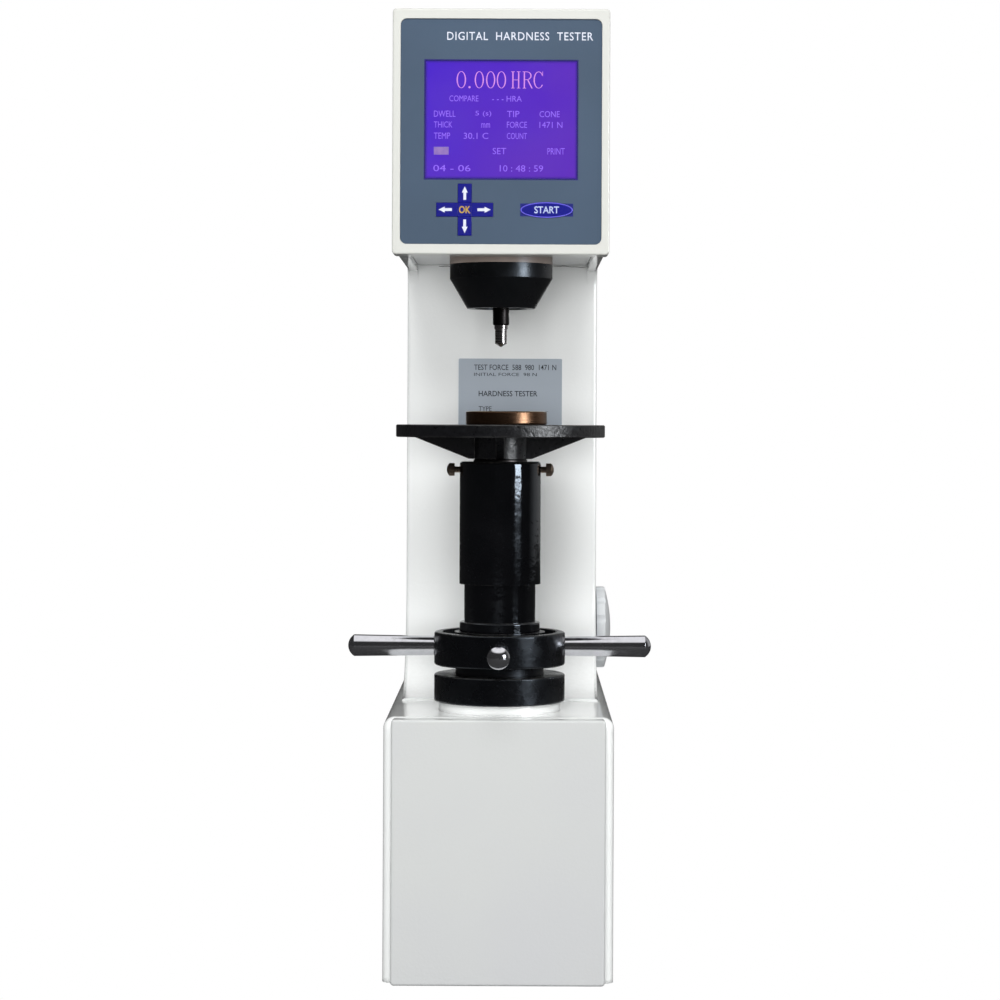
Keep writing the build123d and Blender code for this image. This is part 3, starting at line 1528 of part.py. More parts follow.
# Fork that rides on the two cams and reaches under the lugs of the upper weights.
tine_top = lug_bottoms[0] - fork_drop
tine_z = tine_top - fork_bar
tine_rear = hanger_y + fork_tail
tine_x = fork_half_width - fork_bar / 2
saddle_front = selector_y - selector_cam_radius
with BuildPart() as weight_fork:
    with BuildSketch(Plane.XY.offset(fork_z)):
        with Locations((0, fork_arm_y)):
            Rectangle(2 * fork_half_width, 2 * fork_half_depth)
        with Locations((0, (saddle_front + fork_arm_y) / 2)):
            Rectangle(2 * (selector_cam_x + selector_cam_width), fork_arm_y - saddle_front)
        with Locations((-guide_pin_x, fork_arm_y), (guide_pin_x, fork_arm_y)):
            Circle(guide_pin_radius + running, mode=Mode.SUBTRACT)
    extrude(amount=fork_plate)
    with BuildSketch(Plane.XY.offset(tine_z)):
        with Locations((tine_x, fork_arm_y), (-tine_x, fork_arm_y)):
            Rectangle(fork_bar, fork_half_depth)
    extrude(amount=fork_z - tine_z)
    with BuildSketch(Plane.XY.offset(tine_z)):
        with Locations(
            (tine_x, (fork_arm_y + tine_rear) / 2),
            (-tine_x, (fork_arm_y + tine_rear) / 2),
        ):
            Rectangle(fork_bar, tine_rear - fork_arm_y)
    extrude(amount=fork_bar)
    with BuildSketch(Plane.XY.offset(tine_top)):
        with Locations((tine_x, hanger_y + lug_offset), (-tine_x, hanger_y + lug_offset)):
            Rectangle(fork_rest_width, fork_rest_length)
    extrude(amount=lug_bottoms[1] - lug_bottoms[0])
weight_fork.part.label = "weight_fork"
export_step(weight_fork.part, "parts/weight_fork.step")

# ---------------------------------------------------------------- elevating screw and capstan
with BuildPart() as bearing_seat:
    with BuildSketch(Plane.XY.offset(seat_z)):
        Circle(seat_radius)
        Circle(nut_tail_radius + running, mode=Mode.SUBTRACT)
    extrude(amount=seat_height)
    with BuildSketch(Plane.XY.offset(neck_z)):
        Circle(bearing_radius)
    extrude(amount=-bearing_recess, mode=Mode.SUBTRACT)
    seat_rims = bearing_seat.edges().filter_by(GeomType.CIRCLE)
    fillet(seat_rims.filter_by(lambda e: e.radius > seat_radius - 1), seat_round)
bearing_seat.part.label = "bearing_seat"
export_step(bearing_seat.part, "parts/bearing_seat.step")

washer_inner = nut_tail_radius + gap
washer_outer = bearing_radius - gap
bearing_floor = neck_z - bearing_recess
ball_space = bearing_recess - gap - 2 * washer_thickness
with BuildPart() as thrust_bearing:
    with BuildSketch(Plane.XY.offset(bearing_floor)):
        Circle(washer_outer)
        Circle(washer_inner, mode=Mode.SUBTRACT)
    extrude(amount=washer_thickness)
    with BuildSketch(Plane.XY.offset(bearing_floor + washer_thickness + ball_space)):
        Circle(washer_outer)
        Circle(washer_inner, mode=Mode.SUBTRACT)
    extrude(amount=washer_thickness)
    with Locations((0, 0, bearing_floor + washer_thickness + ball_space / 2)):
        with PolarLocations((washer_inner + washer_outer) / 2, ball_count):
            Sphere(ball_space / 2 - running)
thrust_bearing.part.label = "thrust_bearing"
export_step(thrust_bearing.part, "parts/thrust_bearing.step")

with BuildPart() as capstan_nut:
    with BuildSketch(Plane.XY.offset(nut_bottom)):
        Circle(nut_tail_radius)
    extrude(amount=neck_z - nut_bottom)
    with BuildSketch(Plane.XY.offset(neck_z)):
        Circle(neck_radius)
    extrude(amount=neck_height)
    with BuildSketch(Plane.XY.offset(capstan_z)):
        Circle(capstan_bore)
    extrude(amount=capstan_height)
    with BuildSketch(Plane.XY.offset(nut_bottom)):
        Circle(screw_outer_radius + running)
    extrude(amount=capstan_top - nut_bottom, mode=Mode.SUBTRACT)
capstan_nut.part.label = "capstan_nut"
export_step(capstan_nut.part, "parts/capstan_nut.step")

# One bar, turned about X at the height of the sockets, then set out round the ring.
bar_axis = Axis((0, 0, bar_z), (1, 0, 0))
bar_dome_x, bar_dome_r = dome_point(bar_reach, bar_end_radius, bar_dome)
with BuildPart() as one_bar:
    with BuildSketch(Plane.XZ):
        with BuildLine():
            Polyline(
                (bar_root_start, bar_z),
                (bar_root_start, bar_z + bar_root_radius),
                (capstan_radius, bar_z + bar_root_radius),
                (capstan_radius, bar_z + bar_neck_radius),
                (bar_reach - bar_dome, bar_z + bar_end_radius),
            )
            ThreePointArc(
                (bar_reach - bar_dome, bar_z + bar_end_radius),
                (bar_dome_x, bar_z + bar_dome_r),
                (bar_reach, bar_z),
            )
            Line((bar_reach, bar_z), (bar_root_start, bar_z))
        make_face()
    revolve(axis=bar_axis)
with BuildPart() as capstan_bars:
    with PolarLocations(0, bar_count):
        add(one_bar.part)
capstan_bars.part.label = "capstan_bars"
export_step(capstan_bars.part, "parts/capstan_bars.step")

with BuildPart() as bar_socket:
    with BuildSketch(Plane.YZ.offset(bar_root_start)):
        with Locations((0, bar_z)):
            Circle(bar_root_radius)
    extrude(amount=capstan_radius)
with BuildPart() as capstan_ring:
    with BuildSketch(Plane.XY.offset(capstan_z)):
        Circle(capstan_radius)
        Circle(capstan_bore, mode=Mode.SUBTRACT)
    extrude(amount=capstan_height)
    capstan_rims = capstan_ring.edges().filter_by(GeomType.CIRCLE)
    fillet(capstan_rims.filter_by(lambda e: e.radius > capstan_radius - 1), capstan_round)
    with BuildSketch(Plane.XY.offset(capstan_top)):
        Circle(groove_outer)
        Circle(groove_inner, mode=Mode.SUBTRACT)
    extrude(amount=-groove_depth, mode=Mode.SUBTRACT)
    with PolarLocations(0, bar_count):
        add(bar_socket.part, mode=Mode.SUBTRACT)
capstan_ring.part.label = "capstan_ring"
export_step(capstan_ring.part, "parts/capstan_ring.step")

with BuildPart() as inner_sleeve:
    with BuildSketch(Plane.XY.offset(capstan_top)):
        Circle(flange_radius)
    extrude(amount=flange_height)
    fillet(inner_sleeve.faces().sort_by(Axis.Z)[-1].edges(), flange_round)
    with BuildSketch(Plane.XY.offset(flange_top)):
        Circle(inner_sleeve_radius)
    extrude(amount=inner_sleeve_top - flange_top)
    with BuildSketch(Plane.XY.offset(capstan_top)):
        Circle(inner_sleeve_radius - inner_sleeve_wall)
    extrude(amount=inner_sleeve_top - capstan_top, mode=Mode.SUBTRACT)
inner_sleeve.part.label = "inner_sleeve"
export_step(inner_sleeve.part, "parts/inner_sleeve.step")

with BuildPart() as lead_screw:
    with BuildSketch(Plane.XY.offset(screw_bottom)):
        Circle(screw_outer_radius)
    extrude(amount=screw_top - screw_bottom)
    chamfer(lead_screw.edges().filter_by(GeomType.CIRCLE), 1)
    with BuildSketch(Plane.XY.offset(screw_top - stem_length - 1)):
        Circle(stem_radius_table + running)
    extrude(amount=stem_length + 1, mode=Mode.SUBTRACT)
    with BuildSketch(Plane.XY.offset(screw_bottom)):
        with Locations((0, screw_outer_radius)):
            Rectangle(keyway_width, 2 * keyway_depth)
    extrude(amount=inner_sleeve_top - screw_bottom, mode=Mode.SUBTRACT)
lead_screw.part.label = "lead_screw"
export_step(lead_screw.part, "parts/lead_screw.step")

guide_z = base_height - head_floor - guide_height
key_tip = screw_outer_radius - keyway_depth + gap
with BuildPart() as screw_guide:
    with BuildSketch(Plane.XY.offset(guide_z)):
        Circle(guide_radius)
        Circle(screw_outer_radius + running, mode=Mode.SUBTRACT)
        # Tongue that stands in the screw's keyway and keeps the screw from turning.
        with Locations((0, (key_tip + screw_outer_radius + 1) / 2)):
            Rectangle(keyway_width - 2 * running, screw_outer_radius + 1 - key_tip)
    extrude(amount=guide_height)
screw_guide.part.label = "screw_guide"
export_step(screw_guide.part, "parts/screw_guide.step")

with BuildPart() as outer_sleeve:
    with BuildSketch(Plane.XY.offset(outer_sleeve_bottom)):
        Circle(outer_sleeve_radius)
    extrude(amount=outer_sleeve_top - outer_sleeve_bottom)
    fillet(outer_sleeve.faces().sort_by(Axis.Z)[-1].edges(), outer_sleeve_round)
    with BuildSketch(Plane.XY.offset(outer_sleeve_bottom)):
        Circle(outer_sleeve_radius - outer_sleeve_wall)
    extrude(amount=outer_sleeve_top - outer_sleeve_collar - outer_sleeve_bottom, mode=Mode.SUBTRACT)
    with BuildSketch(Plane.XY.offset(outer_sleeve_bottom)):
        Circle(screw_outer_radius + gap)
    extrude(amount=outer_sleeve_top - outer_sleeve_bottom, mode=Mode.SUBTRACT)
    with BuildSketch(Plane.YZ):
        with Locations((0, thumb_screw_z)):
            Circle(thumb_shank_radius + running)
    extrude(amount=outer_sleeve_radius + 1, both=True, mode=Mode.SUBTRACT)
outer_sleeve.part.label = "outer_sleeve"
export_step(outer_sleeve.part, "parts/outer_sleeve.step")

# Thumb screws: shank down to the screw, thin neck, knurled head with a domed end.
thumb_axis = Axis((0, 0, thumb_screw_z), (1, 0, 0))
thumb_head_x = outer_sleeve_radius + thumb_neck
thumb_tip = thumb_head_x + thumb_head_length
thumb_dome_x, thumb_dome_r = dome_point(thumb_tip, thumb_head_radius, thumb_dome)
with BuildPart() as thumb_screws:
    with BuildSketch(Plane.XZ):
        with BuildLine():
            Polyline(
                (screw_outer_radius + running, thumb_screw_z),
                (screw_outer_radius + running, thumb_screw_z + thumb_shank_radius),
                (thumb_head_x, thumb_screw_z + thumb_shank_radius),
                (thumb_head_x, thumb_screw_z + thumb_head_radius),
                (thumb_tip - thumb_dome, thumb_screw_z + thumb_head_radius),
            )
            ThreePointArc(
                (thumb_tip - thumb_dome, thumb_screw_z + thumb_head_radius),
                (thumb_dome_x, thumb_screw_z + thumb_dome_r),
                (thumb_tip, thumb_screw_z),
            )
            Line((thumb_tip, thumb_screw_z), (screw_outer_radius + running, thumb_screw_z))
        make_face()
    revolve(axis=thumb_axis)
    mirror(about=Plane.YZ)
thumb_screws.part.label = "thumb_screws"
export_step(thumb_screws.part, "parts/thumb_screws.step")

# ---------------------------------------------------------------- table and test block
table_underside = table_top - table_thickness
with BuildPart() as table:
    with BuildSketch(Plane.XY.offset(table_underside)):
        Circle(table_radius)
    extrude(amount=table_thickness)
    chamfer(table.edges().filter_by(GeomType.CIRCLE), table_chamfer)
    with BuildSketch(Plane.XY.offset(screw_top)):
        Circle(hub_radius)
    extrude(amount=table_underside - screw_top)
    with BuildSketch(Plane.XY.offset(screw_top - stem_length)):
        Circle(stem_radius_table)
    extrude(amount=stem_length)
    # Four triangular ribs from the hub to the disc.
    with BuildSketch(Plane.XZ):
        with BuildLine():
            Polyline(
                (hub_radius - rib_root, table_underside),
                (rib_outer, table_underside),
                (rib_inner, screw_top),
                (hub_radius - rib_root, screw_top),
                close=True,
            )
        make_face()
    extrude(amount=rib_thickness / 2, both=True)
    mirror(about=Plane.YZ)
    with BuildSketch(Plane.YZ):
        with BuildLine():
            Polyline(
                (hub_radius - rib_root, table_underside),
                (rib_outer, table_underside),
                (rib_inner, screw_top),
                (hub_radius - rib_root, screw_top),
                close=True,
            )
        make_face()
        mirror(about=Plane.YZ)
    extrude(amount=rib_thickness / 2, both=True)
table.part.label = "table"
export_step(table.part, "parts/table.step")

with BuildPart() as test_block:
    with BuildSketch(Plane.XY.offset(table_top)):
        with Locations((block_x, 0)):
            Circle(block_radius)
    extrude(amount=block_height)
    fillet(test_block.edges().filter_by(GeomType.CIRCLE), block_edge)
test_block.part.label = "test_block"
export_step(test_block.part, "parts/test_block.step")
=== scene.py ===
"""Looks of a bench hardness tester: finishes, lettering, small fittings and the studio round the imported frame."""

import logging
import math
from dataclasses import dataclass
from enum import Enum
from typing import Sequence

import bmesh
import bpy
from mathutils import Matrix, Vector


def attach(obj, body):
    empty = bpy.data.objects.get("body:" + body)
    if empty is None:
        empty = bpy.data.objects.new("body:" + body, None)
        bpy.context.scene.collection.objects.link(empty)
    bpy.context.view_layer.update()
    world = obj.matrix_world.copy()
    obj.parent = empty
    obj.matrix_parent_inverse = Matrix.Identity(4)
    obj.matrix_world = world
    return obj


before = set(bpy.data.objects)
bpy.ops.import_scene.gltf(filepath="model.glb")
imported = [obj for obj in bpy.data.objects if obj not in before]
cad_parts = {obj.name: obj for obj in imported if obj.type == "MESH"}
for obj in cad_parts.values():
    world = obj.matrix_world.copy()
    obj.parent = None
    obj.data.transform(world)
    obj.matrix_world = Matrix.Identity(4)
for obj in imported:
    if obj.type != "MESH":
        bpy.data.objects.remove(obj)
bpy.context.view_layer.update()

log = logging.getLogger("tester")
MM = 0.001

Colour = tuple[float, float, float, float]
Point2 = tuple[float, float]
Point3 = tuple[float, float, float]
Socket = bpy.types.NodeSocket
NodeTree = bpy.types.NodeTree
Material = bpy.types.Material
Finishes = dict[str, Material]

ALONG_X: Point3 = (1.0, 0.0, 0.0)
ALONG_Y: Point3 = (0.0, 1.0, 0.0)
ALONG_Z: Point3 = (0.0, 0.0, 1.0)
WINDOW_LOW: Point2 = (-60.15 * MM, 638.4 * MM)
WINDOW_HIGH: Point2 = (60.15 * MM, 731.9 * MM)


def chip(red: float, green: float, blue: float) -> Colour:
    """Turns a display colour into the linear colour that the shaders take.

    Args:
        red: red on a scale of 0 to 255.
        green: green on a scale of 0 to 255.
        blue: blue on a scale of 0 to 255.

    Returns:
        Linear red, green and blue, with an alpha of 1.
    """
    parts = []
    for value in (red, green, blue):
        share = value / 255
        parts.append(share / 12.92 if share <= 0.04045 else ((share + 0.055) / 1.055) ** 2.4)
    return parts[0], parts[1], parts[2], 1.0


def grey(level: float) -> Colour:
    """A neutral linear colour."""
    return level, level, level, 1.0


def toned(colour: Colour, share: float, lift: float = 0.0) -> Colour:
    """The colour times a share, plus a lift, held at 1."""
    red, green, blue = (min(1.0, part * share + lift) for part in colour[:3])
    return red, green, blue, 1.0


# ------------------------------------------------------------------ shader building


class Effect(Enum):
    """Shader node groups that several finishes share."""

    GRAIN = "grain"
    DRIFT = "colour_drift"
    STREAK = "streaks"
    WEAR = "edge_wear"
    DUST = "settled_dust"
    RINGS = "turning_rings"


class Tree:
    """Adds nodes to a shader tree with little ceremony."""

    def __init__(self, tree: NodeTree) -> None:
        """Wraps the tree of a material, a world or a node group."""
        self.tree = tree

    def add(self, kind: str, inputs: dict | None = None, **settings: object) -> bpy.types.Node:
        """Adds a node, sets its properties and fills or links its inputs.

        Args:
            kind: the node's type name, without its "ShaderNode" prefix if it has one.
            inputs: socket name or number to a value, or to an output socket to link.
            settings: properties of the node.

        Returns:
            The new node.
        """
        node = self.tree.nodes.new(kind if kind.startswith("Node") else "ShaderNode" + kind)
        for key, value in settings.items():
            setattr(node, key, value)
        for key, value in (inputs or {}).items():
            self.feed(node.inputs[key], value)
        return node

    def feed(self, socket: Socket, value: object) -> None:
        """Gives an input socket a value, or links an output socket to it.

        Args:
            socket: the input.
            value: the value, or the output socket.
        """
        if isinstance(value, Socket):
            self.tree.links.new(value, socket)
        else:
            socket.default_value = value

    def maths(self, operation: str, first: object, second: object = 0.0, clamp: bool = False) -> Socket:
        """Adds a Math node, whose result may be held between 0 and 1."""
        return self.add("Math", {0: first, 1: second}, operation=operation, use_clamp=clamp).outputs[0]

    def spread(self, value: object, low: float, high: float, to_low: object = 0.0, to_high: object = 1.0) -> Socket:
        """Maps low to to_low and high to to_high, and holds the result between the two."""
        return self.add("MapRange", {0: value, 1: low, 2: high, 3: to_low, 4: to_high}, clamp=True).outputs[0]

    def mix(self, share: object, first: object, second: object) -> Socket:
        """Mixes two colours by the share of the second."""
        return self.add("Mix", {0: share, 6: first, 7: second}, data_type="RGBA").outputs[2]

    def noise(self, place: Socket, scale: object, detail: object, roughness: float = 0.5) -> Socket:
        """Adds a Noise texture and gives its level."""
        inputs = {"Vector": place, "Scale": scale, "Detail": detail, "Roughness": roughness}
        return self.add("TexNoise", inputs).outputs["Fac"]


class EffectShelf:
    """Builds each shared shader node group once and hands it out."""

    def __init__(self) -> None:
        """Builds every effect."""
        self.groups: dict[Effect, NodeTree] = {
            Effect.GRAIN: self._grain(),
            Effect.DRIFT: self._drift(),
            Effect.STREAK: self._streak(),
            Effect.WEAR: self._wear(),
            Effect.DUST: self._dust(),
            Effect.RINGS: self._rings(),
        }

    @staticmethod
    def _open(effect: Effect, result: str, **inputs: object) -> tuple[Tree, dict[str, Socket], Socket]:
        """Starts a node group with a vector input, the given inputs and one output.

        Args:
            effect: the effect that the group makes.
            result: name of the output: "Color" is a colour, and any other is a value.
            inputs: default of each further input, with underscores for spaces in its name.

        Returns:
            The tree helper, the inputs' sockets by name, and the output's socket.
        """
        kinds = {1: "NodeSocketFloat", 3: "NodeSocketVector", 4: "NodeSocketColor"}
        group = bpy.data.node_groups.new(effect.value, "ShaderNodeTree")
        for name, default in {"Vector": (0.0, 0.0, 0.0), **inputs}.items():
            kind = kinds[len(default) if isinstance(default, tuple) else 1]
            name = name.replace("_", " ")
            group.interface.new_socket(name=name, in_out="INPUT", socket_type=kind).default_value = default
        kind = kinds[4 if result == "Color" else 1]
        group.interface.new_socket(name=result, in_out="OUTPUT", socket_type=kind)
        tree = Tree(group)
        entry, leave = tree.add("NodeGroupInput"), tree.add("NodeGroupOutput")
        return tree, {socket.name: socket for socket in entry.outputs}, leave.inputs[result]

    def _grain(self) -> NodeTree:
        """Fine noise held between two levels, for orange peel, cast skin and moulded texture.

        Returns:
            The node group.
        """
        tree, sockets, leave = self._open(Effect.GRAIN, "Value", Scale=500.0, Detail=2.0, Low=0.0, High=1.0)
        noise = tree.noise(sockets["Vector"], sockets["Scale"], sockets["Detail"])
        tree.feed(leave, tree.spread(noise, 0.3, 0.7, sockets["Low"], sockets["High"]))
        return tree.tree

    def _drift(self) -> NodeTree:
        """Slow change from one colour towards another over the surface.

        Returns:
            The node group.
        """
        colours = {"Color": grey(0.5), "Second_Color": grey(0.4)}
        tree, sockets, leave = self._open(Effect.DRIFT, "Color", **colours, Scale=6.0, Amount=0.5)
        mask = tree.spread(tree.noise(sockets["Vector"], sockets["Scale"], 2.0), 0.35, 0.7)
        share = tree.maths("MULTIPLY", mask, sockets["Amount"])
        tree.feed(leave, tree.mix(share, sockets["Color"], sockets["Second Color"]))
        return tree.tree

    def _streak(self) -> NodeTree:
        """Long fine scratches, as a brush or a grinding belt leaves them.

        Returns:
            The node group.
        """
        tree, sockets, leave = self._open(Effect.STREAK, "Mask", Stretch=(1.0, 1.0, 60.0), Scale=60.0)
        pulled = tree.add("VectorMath", {0: sockets["Vector"], 1: sockets["Stretch"]}, operation="MULTIPLY")
        noise = tree.noise(pulled.outputs[0], sockets["Scale"], 3.0, 0.65)
        tree.feed(leave, tree.spread(noise, 0.3, 0.7))
        return tree.tree

    def _wear(self) -> NodeTree:
        """Mask of the corners, broken up by noise, where a finish rubs thin.

        Returns:
            The node group.
        """
        tree, sockets, leave = self._open(Effect.WEAR, "Mask", Radius=1.0 * MM, Breakup_Scale=120.0)
        rounded = tree.add("Bevel", {"Radius": sockets["Radius"]}, samples=4).outputs[0]
        normal = tree.add("NewGeometry").outputs["Normal"]
        agree = tree.add("VectorMath", {0: rounded, 1: normal}, operation="DOT_PRODUCT")
        corner = tree.spread(agree.outputs["Value"], 0.99, 0.8)
        broken = tree.spread(tree.noise(sockets["Vector"], sockets["Breakup Scale"], 3.0), 0.42, 0.62)
        tree.feed(leave, tree.maths("MULTIPLY", corner, broken))
        return tree.tree

    def _dust(self) -> NodeTree:
        """Mask of thin dust on the faces that look up.

        Returns:
            The node group.
        """
        tree, sockets, leave = self._open(Effect.DUST, "Mask", Amount=0.3)
        upright = tree.add("SeparateXYZ", {0: tree.add("NewGeometry").outputs["Normal"]})
        facing = tree.spread(upright.outputs["Z"], 0.3, 1.0)
        cloud = tree.spread(tree.noise(sockets["Vector"], 260.0, 5.0, 0.7), 0.4, 0.75)
        layer = tree.maths("MULTIPLY", facing, cloud)
        tree.feed(leave, tree.maths("MULTIPLY", layer, sockets["Amount"]))
        return tree.tree

    def _rings(self) -> NodeTree:
        """Fine rings round an axis, as a lathe tool leaves them, on the end face and along the side.

        Returns:
            The node group.
        """
        tree, sockets, leave = self._open(Effect.RINGS, "Mask", Pitch=0.4 * MM)
        parts = tree.add("SeparateXYZ", {0: sockets["Vector"]})
        flat = tree.add("CombineXYZ", {0: parts.outputs["X"], 1: parts.outputs["Y"], 2: 0.0})
        radius = tree.add("VectorMath", {0: flat.outputs[0]}, operation="LENGTH")
        travel = tree.maths("ADD", radius.outputs["Value"], parts.outputs["Z"])
        turns = tree.maths("DIVIDE", travel, sockets["Pitch"])
        noise = tree.add("TexNoise", {"Scale": 1.0, "Detail": 2.0, "W": turns}, noise_dimensions="1D")
        tree.feed(leave, tree.spread(noise.outputs["Fac"], 0.3, 0.7))
        return tree.tree


class Skin(Tree):
    """One material: a Principled shader, object coordinates and the shared effects."""

    def __init__(self, name: str, shelf: EffectShelf) -> None:
        """Starts a material.

        Args:
            name: the finish's name.
            shelf: where the shared effects come from.
        """
        self.material = bpy.data.materials.new(name)
        self.material.use_nodes = True
        super().__init__(self.material.node_tree)
        self.tree.nodes.clear()
        self.shelf = shelf
        self.shader = self.add("BsdfPrincipled")
        self.add("OutputMaterial", {"Surface": self.shader.outputs[0]})
        self.place = self.add("TexCoord").outputs["Object"]

    def effect(self, effect: Effect, **inputs: object) -> Socket:
        """Places a shared effect in this material.

        Args:
            effect: which effect.
            inputs: the group's inputs, with underscores for spaces.

        Returns:
            The effect's output socket.
        """
        node = self.add("Group")
        node.node_tree = self.shelf.groups[effect]
        self.feed(node.inputs["Vector"], self.place)
        for key, value in inputs.items():
            self.feed(node.inputs[key.replace("_", " ")], value)
        return node.outputs[0]

    def grain(self, scale: float, detail: float, low: float = 0.0, high: float = 1.0) -> Socket:
        """Places the grain, held between two levels."""
        return self.effect(Effect.GRAIN, Scale=scale, Detail=detail, Low=low, High=high)

    def drift(self, first: Colour, second: Colour, scale: float, amount: float) -> Socket:
        """Places the slow drift from one colour towards another."""
        return self.effect(Effect.DRIFT, Color=first, Second_Color=second, Scale=scale, Amount=amount)

    def worn(self, colour: Socket, bare: Colour, radius: float, scale: float, share: float) -> Socket:
        """Lets a second colour through at the corners."""
        mask = self.effect(Effect.WEAR, Radius=radius, Breakup_Scale=scale)
        return self.mix(self.maths("MULTIPLY", mask, share), colour, bare)

    def set(self, **inputs: object) -> None:
        """Fills or links inputs of the Principled shader, with underscores for spaces."""
        for key, value in inputs.items():
            self.feed(self.shader.inputs[key.replace("_", " ")], value)

    def bump(self, height: Socket, depth: float, rounding: float = 0.0) -> None:
        """Puts relief on the shader's normal.

        Args:
            height: the relief, from 0 to 1.
            depth: its depth in metres.
            rounding: radius in metres of the rounded corners that it lies on, or 0 for sharp ones.
        """
        node = self.add("Bump", {"Height": height, "Distance": depth, "Strength": 1.0})
        if rounding:
            self.feed(node.inputs["Normal"], self.add("Bevel", {"Radius": rounding}, samples=4).outputs[0])
        self.set(Normal=node.outputs[0])


# ------------------------------------------------------------------ finishes


@dataclass(frozen=True)
class Finish:
    """A finish with the name of its material."""

    name: str

    def material(self, shelf: EffectShelf) -> Material:
        """Builds the material.

        Args:
            shelf: where the shared effects come from.

        Returns:
            The material.
        """
        skin = Skin(self.name, shelf)
        self.dress(skin)
        return skin.material

    def dress(self, skin: Skin) -> None:
        """Fills the skin; every kind of finish has its own way."""
        raise NotImplementedError(self.name)


@dataclass(frozen=True)
class Paint(Finish):
    """Sprayed and baked paint: orange peel, a slow drift of colour, thin corners and a little dust."""

    colour: Colour
    shade: Colour
    gloss: Point2 = (0.3, 0.34)
    peel_scale: float = 420.0
    peel_depth: float = 0.03 * MM
    coat: float = 1.0
    drift: float = 0.12
    rounding: float = 0.6 * MM
    dust: Colour = chip(176, 172, 160)

    def dress(self, skin: Skin) -> None:
        """Makes the skin a paint.

        Args:
            skin: the material to fill.
        """
        colour = skin.drift(self.colour, self.shade, 7.0, self.drift)
        colour = skin.worn(colour, toned(self.colour, 1.12), 0.8 * MM, 90.0, 0.5)
        dust = skin.effect(Effect.DUST, Amount=0.12)
        rough = skin.maths("ADD", skin.grain(14.0, 2.0, *self.gloss), skin.maths("MULTIPLY", dust, 0.3))
        skin.set(Base_Color=skin.mix(dust, colour, self.dust), Roughness=rough)
        skin.set(Coat_Weight=self.coat, Coat_Roughness=0.05, Coat_IOR=1.5)
        skin.bump(skin.grain(self.peel_scale, 1.0), self.peel_depth, self.rounding)


@dataclass(frozen=True)
class Enamel(Finish):
    """Black stove enamel on turned steel: deep gloss, faint ripples and fine dust."""

    colour: Colour
    gloss: Point2 = (0.12, 0.24)
    ripple: float = 0.02 * MM
    specular: float = 0.5
    glint: Colour = (0.78, 0.88, 1.0, 1.0)
    bare: Colour = chip(92, 90, 88)
    dust: Colour = chip(120, 118, 112)

    def dress(self, skin: Skin) -> None:
        """Makes the skin an enamel.

        Args:
            skin: the material to fill.
        """
        colour = skin.drift(self.colour, toned(self.colour, 2.0, 0.001), 30.0, 0.6)
        colour = skin.worn(colour, self.bare, 0.7 * MM, 160.0, 0.35)
        dust = skin.effect(Effect.DUST, Amount=0.2)
        rough = skin.maths("ADD", skin.grain(55.0, 5.0, *self.gloss), dust)
        skin.set(Base_Color=skin.mix(dust, colour, self.dust), Roughness=rough)
        skin.set(Specular_Tint=self.glint, Specular_IOR_Level=self.specular)
        skin.bump(skin.grain(160.0, 2.0), self.ripple, 0.5 * MM)


@dataclass(frozen=True)
class CastSkin(Finish):
    """Painted or blackened casting with the mottled skin of sand."""

    colour: Colour
    spot: Colour
    scale: float = 330.0
    depth: float = 0.22 * MM
    roughness: Point2 = (0.34, 0.6)
    specular: float = 0.5
    bare: Colour = chip(110, 108, 104)
    dust: Colour = chip(128, 124, 116)

    def dress(self, skin: Skin) -> None:
        """Makes the skin a casting's.

        Args:
            skin: the material to fill.
        """
        speckle, cloud = skin.grain(self.scale, 4.0), skin.grain(40.0, 3.0)
        patch = skin.maths("ADD", skin.maths("MULTIPLY", cloud, 0.6), 0.3)
        colour = skin.mix(skin.maths("MULTIPLY", speckle, patch), self.colour, self.spot)
        colour = skin.mix(skin.effect(Effect.DUST, Amount=0.16), colour, self.dust)
        colour = skin.worn(colour, self.bare, 0.9 * MM, 140.0, 0.5)
        rough = skin.spread(speckle, 0.0, 1.0, *self.roughness)
        skin.set(Base_Color=colour, Roughness=rough, Specular_IOR_Level=self.specular)
        skin.bump(skin.maths("ADD", speckle, skin.maths("MULTIPLY", cloud, 0.7)), self.depth)


@dataclass(frozen=True)
class Metal(Finish):
    """Bare or plated metal with brushed lines, turning rings and light handling marks."""

    colour: Colour
    stain: Colour
    roughness: Point2 = (0.18, 0.34)
    stretch: Point3 = (1.0, 1.0, 60.0)
    scale: float = 60.0
    rings: float = 0.0
    depth: float = 0.01 * MM
    stain_amount: float = 0.4

    def dress(self, skin: Skin) -> None:
        """Makes the skin a metal's.

        Args:
            skin: the material to fill.
        """
        colour = skin.drift(self.colour, self.stain, 34.0, self.stain_amount)
        if self.rings:
            line = skin.effect(Effect.RINGS, Pitch=self.rings)
        else:
            line = skin.effect(Effect.STREAK, Stretch=self.stretch, Scale=self.scale)
        colour = skin.mix(skin.maths("MULTIPLY", line, 0.35), colour, toned(self.colour, 0.72))
        smear = skin.grain(48.0, 5.0, 0.0, 0.08)
        rough = skin.maths("ADD", skin.spread(line, 0.0, 1.0, *self.roughness), smear)
        skin.set(Base_Color=colour, Metallic=1.0, Roughness=rough)
        skin.bump(line, self.depth, 0.3 * MM)


